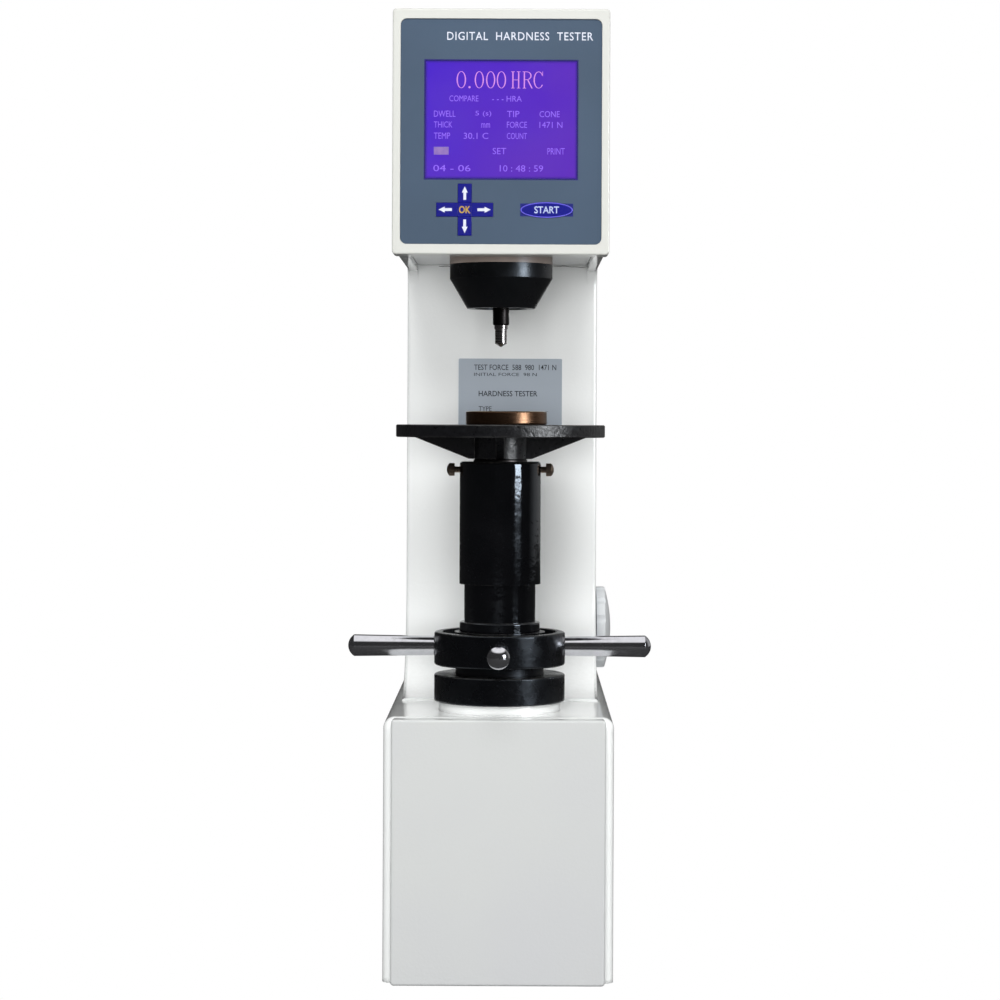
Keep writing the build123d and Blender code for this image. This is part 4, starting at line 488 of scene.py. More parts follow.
@dataclass(frozen=True)
class Moulded(Finish):
    """Moulded or printed plastic: a fine matt grain under a soft sheen."""

    colour: Colour
    shade: Colour
    roughness: Point2 = (0.34, 0.5)
    scale: float = 1400.0
    depth: float = 0.01 * MM
    coat: float = 0.0

    def dress(self, skin: Skin) -> None:
        """Makes the skin a plastic.

        Args:
            skin: the material to fill.
        """
        colour = skin.drift(self.colour, self.shade, 16.0, 0.7)
        fleck = skin.grain(self.scale * 0.4, 3.0, 0.0, 0.12)
        rough = skin.grain(70.0, 4.0, *self.roughness)
        skin.set(Base_Color=skin.mix(fleck, colour, self.shade), Roughness=rough)
        skin.set(Coat_Weight=self.coat, Coat_Roughness=0.2)
        skin.bump(skin.grain(self.scale, 2.0), self.depth)


@dataclass(frozen=True)
class Screen(Finish):
    """Lit liquid-crystal screen: a violet field that warms to the right, fine cells and a clear glass face."""

    cold: Colour
    warm: Colour
    rim: Colour
    front: float = -72.2 * MM
    cell: float = 0.42 * MM
    cell_line: float = 0.86
    edge: float = 2.2 * MM
    shine: float = 0.3
    unlit: Colour = (0.02, 0.01, 0.05, 1.0)
    back: Colour = chip(70, 72, 74)

    def dress(self, skin: Skin) -> None:
        """Makes the skin a screen.

        Args:
            skin: the material to fill.
        """
        maths = skin.maths
        across, inward, height = skin.add("SeparateXYZ", {0: skin.place}).outputs
        # The field warms to the right and towards the foot.
        right = skin.spread(across, WINDOW_LOW[0], WINDOW_HIGH[0])
        down = skin.spread(height, WINDOW_HIGH[1], WINDOW_LOW[1], 0.0, 0.3)
        cloud = skin.grain(22.0, 2.0, -0.12, 0.12)
        share = maths("ADD", maths("ADD", maths("MULTIPLY", right, 0.75), down), cloud, clamp=True)
        field = skin.mix(share, self.cold, self.warm)
        # Cells of the panel: thin darker lines both ways.
        lines = []
        for place in (across, height):
            phase = maths("FRACT", maths("DIVIDE", maths("ADD", place, 1.0), self.cell))
            lines.append(maths("GREATER_THAN", phase, self.cell_line))
        field = skin.mix(maths("MULTIPLY", maths("MAXIMUM", *lines), 0.16), field, self.rim)
        # The field darkens towards the rim colour over a narrow band along the window's edges.
        gaps = []
        for place, low, high in zip((across, height), WINDOW_LOW, WINDOW_HIGH):
            gaps.append(maths("MINIMUM", maths("SUBTRACT", place, low), maths("SUBTRACT", high, place)))
        inside = skin.spread(maths("MINIMUM", *gaps), 0.0, self.edge)
        field = skin.mix(maths("SUBTRACT", 1.0, inside), field, self.rim)
        # Only the glass at the front is lit; the module's own frame behind it stays dark.
        lit = maths("LESS_THAN", inward, self.front)
        glow = skin.mix(lit, grey(0.0), field)
        base = skin.mix(lit, self.back, skin.mix(0.6, field, self.unlit))
        smear = skin.grain(30.0, 5.0, 0.08, 0.2)
        skin.set(Base_Color=base, Emission_Color=glow, Emission_Strength=self.shine, Roughness=smear)
        skin.set(Coat_Weight=0.3, Coat_Roughness=0.04)


@dataclass(frozen=True)
class Ink(Finish):
    """Printed ink or a lit segment: an even colour with a slight unevenness of the print."""

    colour: Colour
    shade: Colour
    glow: float = 0.0

    def dress(self, skin: Skin) -> None:
        """Makes the skin an ink.

        Args:
            skin: the material to fill.
        """
        colour = skin.drift(self.colour, self.shade, 300.0, 0.6)
        skin.set(Base_Color=colour, Roughness=skin.grain(900.0, 2.0, 0.35, 0.55))
        if self.glow:
            skin.set(Emission_Color=colour, Emission_Strength=self.glow)


@dataclass(frozen=True)
class Block(Finish):
    """Hardened test block: a ground, mirror-like face and a browned rim with level grinding lines."""

    rim: Colour
    glow: Colour
    face: Colour
    top: float = 454.6 * MM

    def dress(self, skin: Skin) -> None:
        """Makes the skin a test block's.

        Args:
            skin: the material to fill.
        """
        height = skin.add("SeparateXYZ", {0: skin.place}).outputs["Z"]
        line = skin.effect(Effect.STREAK, Stretch=(1.0, 1.0, 46.0), Scale=55.0)
        rim = skin.mix(skin.maths("MULTIPLY", skin.grain(45.0, 4.0), 0.7), self.rim, self.glow)
        rim = skin.mix(skin.maths("MULTIPLY", line, 0.4), rim, toned(self.rim, 0.45))
        upper = skin.maths("GREATER_THAN", height, self.top)
        side_rough = skin.spread(line, 0.0, 1.0, 0.25, 0.38)
        rough = skin.maths("SUBTRACT", side_rough, skin.maths("MULTIPLY", upper, 0.2))
        skin.set(Base_Color=skin.mix(upper, rim, self.face), Metallic=1.0, Roughness=rough)
        skin.bump(line, 0.015 * MM)


PAINTS: tuple[Finish, ...] = (
    Paint("body_paint", chip(241, 243, 242), chip(236, 239, 239)),
    Paint("base_paint", chip(241, 243, 242), chip(236, 239, 239), rounding=6.0 * MM),
    Paint("cover_paint", chip(197, 199, 198), chip(191, 192, 196), gloss=(0.3, 0.36), coat=0.5, drift=0.5),
    Paint("bezel_paint", chip(200, 201, 196), chip(195, 196, 191), gloss=(0.3, 0.36), coat=0.5),
    Enamel("gloss_black", chip(4, 4, 5), gloss=(0.05, 0.11), ripple=0.04 * MM, specular=0.7),
    Enamel("ring_black", chip(3, 3, 4), gloss=(0.16, 0.36), ripple=0.1 * MM),
    Enamel("band_enamel", chip(124, 113, 106), gloss=(0.3, 0.44)),
    Enamel("satin_black", chip(7, 7, 8), gloss=(0.24, 0.38), ripple=0.04 * MM),
    CastSkin("table_skin", chip(6, 6, 8), chip(19, 20, 23), roughness=(0.26, 0.44), specular=0.8),
    CastSkin("iron_inside", chip(96, 98, 100), chip(122, 124, 126), depth=0.1 * MM),
)

METALS: tuple[Finish, ...] = (
    Metal(
        "bar_chrome", chip(224, 224, 229), chip(203, 203, 211), (0.06, 0.14), (1.0, 1.0, 1.0), 160.0, depth=0.004 * MM
    ),
    Metal("turned_steel", chip(172, 168, 168), chip(142, 136, 134), (0.16, 0.28), rings=0.4 * MM, depth=0.003 * MM),
    Metal("nose_black", chip(44, 42, 42), chip(34, 32, 32), (0.3, 0.42), rings=0.5 * MM, depth=0.003 * MM),
    Metal("dull_steel", chip(132, 132, 134), chip(112, 110, 108), (0.34, 0.5)),
    Metal("dark_steel", chip(70, 66, 66), chip(56, 52, 52), (0.28, 0.42), rings=0.5 * MM),
    Metal("plated_zinc", chip(186, 188, 190), chip(160, 162, 160), (0.22, 0.36), (1.0, 60.0, 1.0)),
    Metal("bronze", chip(150, 118, 80), chip(120, 92, 62), (0.26, 0.4), rings=0.6 * MM),
    Metal("screw_bronze", chip(164, 144, 128), chip(120, 104, 92), (0.22, 0.36), (60.0, 1.0, 1.0)),
    Block("block_metal", rim=chip(112, 84, 64), glow=chip(152, 120, 96), face=chip(190, 172, 140)),
)

PLASTICS: tuple[Finish, ...] = (
    Moulded("panel_foil", chip(67, 83, 102), chip(63, 78, 95), roughness=(0.36, 0.48)),
    Moulded("key_foil", chip(10, 13, 122), chip(8, 10, 108), roughness=(0.3, 0.42)),
    Moulded("plate_foil", chip(170, 179, 189), chip(163, 172, 182), scale=900.0),
    Moulded("knob_grey", chip(218, 221, 223), chip(210, 213, 215), coat=0.3),
    Moulded("black_plastic", chip(26, 26, 28), chip(34, 34, 36)),
    Moulded("board_green", chip(34, 86, 58), chip(26, 70, 48)),
    Screen("lit_screen", cold=chip(76, 36, 214), warm=chip(100, 46, 196), rim=chip(42, 34, 128)),
)

INKS: tuple[Finish, ...] = (
    Ink("key_surround", chip(28, 32, 112), chip(24, 27, 98)),
    Ink("white_ink", chip(208, 212, 224), chip(190, 194, 208)),
    Ink("yellow_ink", chip(186, 154, 50), chip(164, 128, 48)),
    Ink("violet_ink", chip(98, 92, 208), chip(88, 82, 196)),
    Ink("pale_ink", chip(172, 184, 216), chip(156, 168, 202)),
    Ink("big_digits", chip(176, 116, 180), chip(162, 104, 182), glow=0.36),
    Ink("small_digits", chip(122, 84, 196), chip(108, 72, 194), glow=0.34),
    Ink("cursor_block", chip(120, 96, 150), chip(96, 74, 140), glow=0.34),
    Ink("plate_ink", chip(34, 37, 43), chip(50, 54, 60)),
    # Painted shadow: a dark band round the screen window stands in for the shade at the recessed glass's edge.
    Ink("window_line", chip(44, 40, 108), chip(38, 34, 92)),
    Ink("joint_grey", chip(92, 90, 88), chip(70, 68, 66)),
)

DRESS: dict[str, tuple[str, ...]] = {
    "body_paint": ("column_casting", "top_cover"),
    "base_paint": ("base_casting",),
    "cover_paint": ("base_front_cover", "column_rear_cover", "base_rear_cover", "head_underplate"),
    "bezel_paint": ("head_bezel",),
    "gloss_black": ("inner_sleeve", "outer_sleeve"),
    "ring_black": ("bearing_seat", "capstan_ring"),
    "band_enamel": ("spindle_bush",),
    "satin_black": ("chuck_cover", "capstan_nut"),
    "table_skin": ("table",),
    "iron_inside": ("fulcrum_bridge", "weight_base", "weight_middle", "weight_top"),
    "bar_chrome": ("capstan_bars",),
    "turned_steel": ("indenter", "lever_knives", "lift_rod", "load_cam", "selector_shaft", "thrust_bearing"),
    "nose_black": ("spindle",),
    "dull_steel": ("power_supply", "preload_spring", "spring_housing", "load_lever")
    + ("weight_hanger", "drive_bracket", "weight_fork"),
    "dark_steel": ("clamp_screw", "lead_screw"),
    "plated_zinc": ("cover_screws", "serial_port"),
    "bronze": ("preload_nut", "screw_guide"),
    "screw_bronze": ("thumb_screws",),
    "block_metal": ("test_block",),
    "panel_foil": ("front_panel",),
    "key_foil": ("key_up", "key_down", "key_left", "key_right", "key_ok", "key_start"),
    "plate_foil": ("data_plate", "selector_dial"),
    "knob_grey": ("selector_knob",),
    "black_plastic": ("power_entry", "power_rocker", "depth_gauge", "load_motor"),
    "board_green": ("control_board", "key_board"),
    "lit_screen": ("lcd_module",),
}


def dress_frame(finishes: Finishes) -> None:
    """Gives every carried-over CAD node its finish.

    Args:
        finishes: the tester's materials by name.
    """
    chosen = {node: finish for finish, nodes in DRESS.items() for node in nodes}
    for name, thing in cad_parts.items():
        for spot in thing.material_slots:
            spot.material = finishes[chosen[name]]
        log.info("%s: %s", name, chosen[name])


# ------------------------------------------------------------------ pieces


@dataclass(frozen=True)
class Face:
    """A flat place on the tester that marks are put on: its origin and its right and up directions."""

    origin: Point3
    right: Point3 = ALONG_X
    up: Point3 = ALONG_Z

    def matrix(self, thickness: float) -> Matrix:
        """Maps mark coordinates, with a height of 0 to 1, to the tester's frame.

        Args:
            thickness: how far the marks stand off the face, in metres.

        Returns:
            The 4 by 4 matrix.
        """
        right, up = Vector(self.right), Vector(self.up)
        out = right.cross(up) * thickness
        rows = [(right[i], up[i], out[i], self.origin[i]) for i in range(3)]
        return Matrix(rows + [(0.0, 0.0, 0.0, 1.0)])


class Piece:
    """Collects geometry for one piece, from a height of 0 to one of 1, then makes its object."""

    TYPE_HALF = 0.5
    TYPE_STEPS = 3
    SMOOTH_BELOW = math.radians(35)

    def __init__(self, name: str) -> None:
        """Starts an empty piece of that name."""
        self.name = name
        self.mesh = bmesh.new()

    def _shell(self, *rings: tuple[Sequence[Point2], float]) -> list[list[bmesh.types.BMVert]]:
        """Adds rings of corners and the walls from each ring to the next.

        Args:
            rings: outline and height of each ring.

        Returns:
            The corners of each ring.
        """
        corners = [[self.mesh.verts.new((u, v, height)) for u, v in outline] for outline, height in rings]
        for first, second in zip(corners, corners[1:]):
            for i in range(len(first)):
                j = (i + 1) % len(first)
                self.mesh.faces.new((first[i], first[j], second[j], second[i]))
        return corners

    def prism(self, outline: Sequence[Point2]) -> None:
        """Adds a closed plate.

        Args:
            outline: its corners in order.
        """
        back, front = self._shell((outline, 0.0), (outline, 1.0))
        self.mesh.faces.new(reversed(back))
        self.mesh.faces.new(front)

    def band(self, outer: Sequence[Point2], inner: Sequence[Point2]) -> None:
        """Adds a closed band between two outlines with the same number of corners.

        Args:
            outer: corners of the outside, in order.
            inner: corners of the inside, in the same order.
        """
        first, *_, last = self._shell((outer, 0.0), (outer, 1.0), (inner, 1.0), (inner, 0.0))
        for i in range(len(first)):
            j = (i + 1) % len(first)
            self.mesh.faces.new((last[i], last[j], first[j], first[i]))

    def words(self, text: str, low: Point2, high: Point2, weight: float = 0.0, gap: float = 1.0) -> None:
        """Adds lettering that fills a box.

        Args:
            text: the letters.
            low: lower left corner of the box.
            high: upper right corner of the box.
            weight: how much the strokes are thickened, as a share of the letter height.
            gap: letter spacing.
        """
        curve = bpy.data.curves.new(self.name + "_type", "FONT")
        curve.body = text
        curve.extrude = self.TYPE_HALF
        curve.offset = weight
        curve.space_character = gap
        curve.resolution_u = self.TYPE_STEPS
        proof = bpy.data.objects.new(self.name + "_type", curve)
        bpy.context.scene.collection.objects.link(proof)
        bpy.context.view_layer.update()
        cut = bpy.data.meshes.new_from_object(proof.evaluated_get(bpy.context.evaluated_depsgraph_get()))
        bpy.data.objects.remove(proof)
        bpy.data.curves.remove(curve)
        us = [vertex.co.x for vertex in cut.vertices]
        vs = [vertex.co.y for vertex in cut.vertices]
        left, foot = min(us), min(vs)
        wide = (high[0] - low[0]) / (max(us) - left)
        tall = (high[1] - low[1]) / (max(vs) - foot)
        for vertex in cut.vertices:
            u, v, w = vertex.co
            vertex.co = (low[0] + (u - left) * wide, low[1] + (v - foot) * tall, w + self.TYPE_HALF)
        self.mesh.from_mesh(cut)
        bpy.data.meshes.remove(cut)

    def make(self, material: Material, body: str, matrix: Matrix, smooth: bool = False) -> None:
        """Makes the object, dresses it and lets it ride.

        Args:
            material: its finish.
            body: the CAD body that it moves with.
            matrix: applied to the geometry.
            smooth: whether its faces are shaded smooth where they turn little.
        """
        self.mesh.transform(matrix)
        bmesh.ops.recalc_face_normals(self.mesh, faces=self.mesh.faces)
        data = bpy.data.meshes.new(self.name)
        self.mesh.to_mesh(data)
        self.mesh.free()
        if smooth:
            data.shade_smooth()
            data.set_sharp_from_angle(angle=self.SMOOTH_BELOW)
        data.materials.append(material)
        thing = bpy.data.objects.new(self.name, data)
        bpy.context.scene.collection.objects.link(thing)
        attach(thing, body)
        log.info("%s: %d faces on %s", self.name, len(data.polygons), body)


def rectangle(low: Point2, high: Point2, grow: float = 0.0) -> list[Point2]:
    """Corners of an upright rectangle, grown on all sides."""
    left, foot, right, head = low[0] - grow, low[1] - grow, high[0] + grow, high[1] + grow
    return [(left, foot), (right, foot), (right, head), (left, head)]


def ellipse(
    centre: Point2, half: Point2, steps: int = 96, start: float = 0.0, turn: float = math.tau
) -> list[Point2]:
    """Points on an ellipse or on an arc of one.

    Args:
        centre: its centre.
        half: its half width and half height.
        steps: number of points.
        start: angle of the first point.
        turn: angle covered.

    Returns:
        The points in order.
    """
    parts = steps if turn == math.tau else steps - 1
    angles = [start + turn * i / parts for i in range(steps)]
    return [(centre[0] + half[0] * math.cos(a), centre[1] + half[1] * math.sin(a)) for a in angles]


def box_round(centre: Point2, half: Point2) -> tuple[Point2, Point2]:
    """Lower left and upper right corners of the box of a given half size round a point."""
    return (centre[0] - half[0], centre[1] - half[1]), (centre[0] + half[0], centre[1] + half[1])


@dataclass
class Trim:
    """Small pieces that go on one area of the tester."""

    finishes: Finishes


@dataclass
class Overlay(Trim):
    """Printing on the head: keys, title and the screen's figures, with a painted shadow round the window."""

    panel_y: float = -76.8 * MM
    key_y: float = -77.2 * MM
    glass_y: float = -76.5 * MM
    print_depth: float = 0.04 * MM
    pad: Point2 = (-28.5 * MM, 613.9 * MM)
    arrow_length: float = 10.6 * MM
    arrow_half: float = 2.35 * MM
    arrow_shaft: float = 1.1 * MM
    arrow_head: float = 4.9 * MM
    ok_half: Point2 = (4.6 * MM, 2.9 * MM)
    start: Point2 = (36.3 * MM, 613.9 * MM)
    start_half: Point2 = (20.8 * MM, 6.25 * MM)
    start_gap: float = 0.2 * MM
    start_word: Point2 = (36.3 * MM, 614.0 * MM)
    start_word_half: Point2 = (9.8 * MM, 2.8 * MM)
    ring_inset: float = 0.15 * MM
    ring_width: Point2 = (0.8 * MM, 0.75 * MM)
    field_half: Point2 = (20.9 * MM, 5.1 * MM)
    # Painted shadow round the screen window: how far it starts and ends outside the window's edge.
    shadow_gap: float = 0.2 * MM
    shadow_edge: float = 0.9 * MM
    title_low: Point2 = (-42.9 * MM, 748.0 * MM)
    title_high: Point2 = (72.4 * MM, 754.5 * MM)
    rows: tuple[tuple[str, float, float, float, float], ...] = (
        ("COMPARE", 0.159, 0.296, 0.350, 0.346),
        ("- - - HRA", 0.440, 0.298, 0.635, 0.346),
        ("DWELL", 0.058, 0.425, 0.200, 0.477),
        ("5 (s)", 0.330, 0.425, 0.435, 0.477),
        ("TIP", 0.538, 0.425, 0.620, 0.477),
        ("CONE", 0.752, 0.425, 0.885, 0.477),
        ("THICK", 0.058, 0.516, 0.180, 0.568),
        ("mm", 0.369, 0.530, 0.427, 0.568),
        ("FORCE", 0.538, 0.516, 0.670, 0.568),
        ("1471 N", 0.752, 0.516, 0.903, 0.568),
        ("TEMP", 0.058, 0.611, 0.165, 0.663),
        ("30.1 C", 0.254, 0.611, 0.416, 0.663),
        ("COUNT", 0.538, 0.611, 0.670, 0.663),
        ("SET", 0.445, 0.738, 0.534, 0.792),
        ("PRINT", 0.805, 0.738, 0.919, 0.792),
        ("04 - 06", 0.055, 0.884, 0.300, 0.938),
        ("10 : 48 : 59", 0.492, 0.884, 0.777, 0.938),
    )
    noughts: tuple[Point2, ...] = ((0.206, 0.268), (0.325, 0.385), (0.400, 0.460), (0.470, 0.531))
    stem: float = 0.95 * MM
    hair: float = 0.42 * MM
    serif: float = 0.9 * MM
    inset: float = 1.1 * MM
    point: float = 0.85 * MM
    mouth: float = 0.62

    def matrix(self, depth: float) -> Matrix:
        """Puts print on the front plane at a given depth, with X to the right and Z up."""
        return Face((0.0, depth, 0.0)).matrix(self.print_depth)

    def arrow(self, toward: Point2, reach: float) -> list[Point2]:
        """Outline of an arrow on the key pad.

        Args:
            toward: unit direction that it points in.
            reach: distance from the pad's centre to its tip.

        Returns:
            Seven corners.
        """
        (x, y), neck = toward, reach - self.arrow_head
        half = [(reach - self.arrow_length, self.arrow_shaft), (neck, self.arrow_shaft), (neck, self.arrow_half)]
        steps = [(along, -off) for along, off in half] + [(reach, 0.0)] + half[::-1]
        return [(self.pad[0] + x * along - y * off, self.pad[1] + y * along + x * off) for along, off in steps]

    def keys(self) -> None:
        """Arrows, OK and START on the keys."""
        matrix = self.matrix(self.key_y)
        arrows = {
            "key_up": ((0.0, 1.0), 18.4 * MM),
            "key_down": ((0.0, -1.0), 18.4 * MM),
            "key_left": ((-1.0, 0.0), 20.7 * MM),
            "key_right": ((1.0, 0.0), 20.6 * MM),
        }
        for body, (toward, reach) in arrows.items():
            mark = Piece(body + "_arrow")
            mark.prism(self.arrow(toward, reach))
            mark.make(self.finishes["white_ink"], body, matrix)
        word = Piece("ok_word")
        word.words("OK", *box_round(self.pad, self.ok_half), 0.02)
        word.make(self.finishes["yellow_ink"], "key_ok", matrix)
        word = Piece("start_word")
        word.words("START", *box_round(self.start_word, self.start_word_half), 0.015)
        word.make(self.finishes["pale_ink"], "key_start", matrix)
        ring = Piece("start_ring")
        outer = (self.start_half[0] - self.ring_inset, self.start_half[1] - self.ring_inset)
        inner = (outer[0] - self.ring_width[0], outer[1] - self.ring_width[1])
        ring.band(ellipse(self.start, outer), ellipse(self.start, inner))
        ring.make(self.finishes["violet_ink"], "key_start", matrix)

    def surround(self) -> None:
        """Dark field behind the start key, the painted shadow round the window and the title."""
        matrix = self.matrix(self.panel_y)
        field = Piece("start_field")
        half = self.field_half
        hole = (self.start_half[0] + self.start_gap, self.start_half[1] + self.start_gap)
        reach, rise = math.acos(half[0] / hole[0]), math.asin(half[1] / hole[1])
        for side, end in ((-1, -1), (-1, 1), (1, -1), (1, 1)):
            corner = (self.start[0] + side * half[0], self.start[1] + end * half[1])
            arc = ellipse(self.start, (side * hole[0], end * hole[1]), 13, reach, rise - reach)
            field.prism([corner] + (arc if side * end < 0 else arc[::-1]))
        field.make(self.finishes["key_surround"], "frame", matrix)
        # Painted shadow of the recessed glass's edge: a dark band printed round the window.
        line = Piece("window_line")
        outer = rectangle(WINDOW_LOW, WINDOW_HIGH, self.shadow_edge)
        line.band(outer, rectangle(WINDOW_LOW, WINDOW_HIGH, self.shadow_gap))
        line.make(self.finishes["window_line"], "frame", matrix)
        title = Piece("panel_title")
        title.words("DIGITAL  HARDNESS  TESTER", self.title_low, self.title_high, 0.004, 1.12)
        title.make(self.finishes["white_ink"], "frame", matrix)

    def spot(self, across: float, down: float) -> Point2:
        """Place on the screen, by shares of its width from the left and of its height from the top."""
        width, height = WINDOW_HIGH[0] - WINDOW_LOW[0], WINDOW_HIGH[1] - WINDOW_LOW[1]
        return WINDOW_LOW[0] + across * width, WINDOW_HIGH[1] - down * height

    def span(self, left: float, right: float) -> Point2:
        """Both sides of a letter, from shares of the screen's width."""
        return self.spot(left, 0.0)[0], self.spot(right, 0.0)[0]

    def figures(self) -> None:
        """The lines of small figures on the screen and the cursor."""
        matrix = self.matrix(self.glass_y)
        small = Piece("screen_lines")
        for text, left, top, right, bottom in self.rows:
            small.words(text, self.spot(left, bottom), self.spot(right, top))
        small.make(self.finishes["small_digits"], "frame", matrix)
        block = Piece("screen_cursor")
        block.prism(rectangle(self.spot(0.058, 0.797), self.spot(0.156, 0.731)))
        block.make(self.finishes["cursor_block"], "frame", matrix)

    def reading(self) -> None:
        """The large reading, in light letters with thin cross strokes."""
        big = Piece("screen_reading")
        top, foot = self.spot(0.0, 0.091)[1], self.spot(0.0, 0.234)[1]
        middle, half = (top + foot) / 2, (top - foot) / 2
        stem, hair, serif, inset = self.stem, self.hair, self.serif, self.inset

        def bar(u0: float, v0: float, u1: float, v1: float) -> None:
            """Adds an upright box between two corners."""
            big.prism(rectangle((u0, v0), (u1, v1)))

        # The noughts and the point.
        for nought in self.noughts:
            u0, u1 = self.span(*nought)
            centre, wide = ((u0 + u1) / 2, middle), (u1 - u0) / 2
            big.band(ellipse(centre, (wide, half), 48), ellipse(centre, (wide - stem, half - hair), 48))
        dot = (self.spot(0.291, 0.0)[0], foot + 0.75 * MM)
        big.prism(ellipse(dot, (self.point, self.point), 20))
        # H
        u0, u1 = self.span(0.563, 0.627)
        for u in (u0 + inset, u1 - inset - stem):
            bar(u, foot, u + stem, top)
            for v in (foot, top - hair):
                bar(u - serif, v, u, v + hair)
                bar(u + stem, v, u + stem + serif, v + hair)
        bar(u0 + inset + stem, middle - hair / 2, u1 - inset - stem, middle + hair / 2)
        # R
        u0, u1 = self.span(0.640, 0.706)
        left = u0 + serif
        bar(left, foot, left + stem, top)
        for v in (foot, top - hair):
            bar(left - serif, v, left, v + hair)
        bar(left + stem, foot, left + stem + serif, foot + hair)
        bowl = (top - middle) / 2
        hub = (left + stem + 1.2 * MM, top - bowl)
        wide = u1 - hub[0] - serif
        outer = ellipse(hub, (wide, bowl), 20, -math.pi / 2, math.pi)
        inner = ellipse(hub, (wide - stem, bowl - hair), 20, -math.pi / 2, math.pi)
        big.prism(outer + inner[::-1])
        for v in (top - hair, top - 2 * bowl):
            bar(left + stem, v, hub[0], v + hair)
        knee = hub[0] + 0.6 * MM
        big.prism([(knee, middle), (knee + stem, middle), (u1, foot), (u1 - stem, foot)])
        # C
        u0, u1 = self.span(0.712, 0.779)
        hub, wide, turn = ((u0 + u1) / 2, middle), (u1 - u0) / 2, math.tau - 2 * self.mouth
        outer = ellipse(hub, (wide, half), 40, self.mouth, turn)
        inner = ellipse(hub, (wide - stem, half - hair), 40, self.mouth, turn)
        big.prism(outer + inner[::-1])
        bar(u1 - inset, top - 3.6 * MM, u1 - inset + hair, top)
        big.make(self.finishes["big_digits"], "frame", self.matrix(self.glass_y))

    def build(self) -> None:
        """Builds all the printing on the head."""
        for part in (self.keys, self.surround, self.figures, self.reading):
            part()


@dataclass
class ColumnPlate(Trim):
    """Marks on the data plate of the column; millimetres count from its upper left corner, right and down."""

    corner: Point3 = (-38.05 * MM, 153.2 * MM, 501.8 * MM)
    depth: float = 0.03 * MM
    lettering: tuple[tuple[str, float, float, float, float, float], ...] = (
        ("TEST FORCE  588  980  1471 N", 13.5, 10.0, 85.5, 5.2, 0.006),
        ("INITIAL FORCE  98 N", 13.5, 15.2, 68.5, 12.4, 0.0),
        ("HARDNESS TESTER", 17.6, 33.0, 69.1, 28.2, 0.01),
        ("TYPE", 17.6, 46.0, 29.0, 41.8, 0.0),
        ("No.", 17.6, 56.0, 25.0, 51.8, 0.0),
    )
    rules: tuple[float, ...] = (46.4, 56.4)
    rule_ends: Point2 = (32.0, 78.5)
    rule_width: float = 0.25

    def build(self) -> None:
        """Builds the rules and the lettering."""
        marks = Piece("plate_marks")
        for text, left, bottom, right, top, weight in self.lettering:
            marks.words(text, (left * MM, -bottom * MM), (right * MM, -top * MM), weight)
        left, right = self.rule_ends
        for drop in self.rules:
            marks.prism(rectangle((left * MM, -drop * MM), (right * MM, (self.rule_width - drop) * MM)))
        marks.make(self.finishes["plate_ink"], "frame", Face(self.corner).matrix(self.depth))


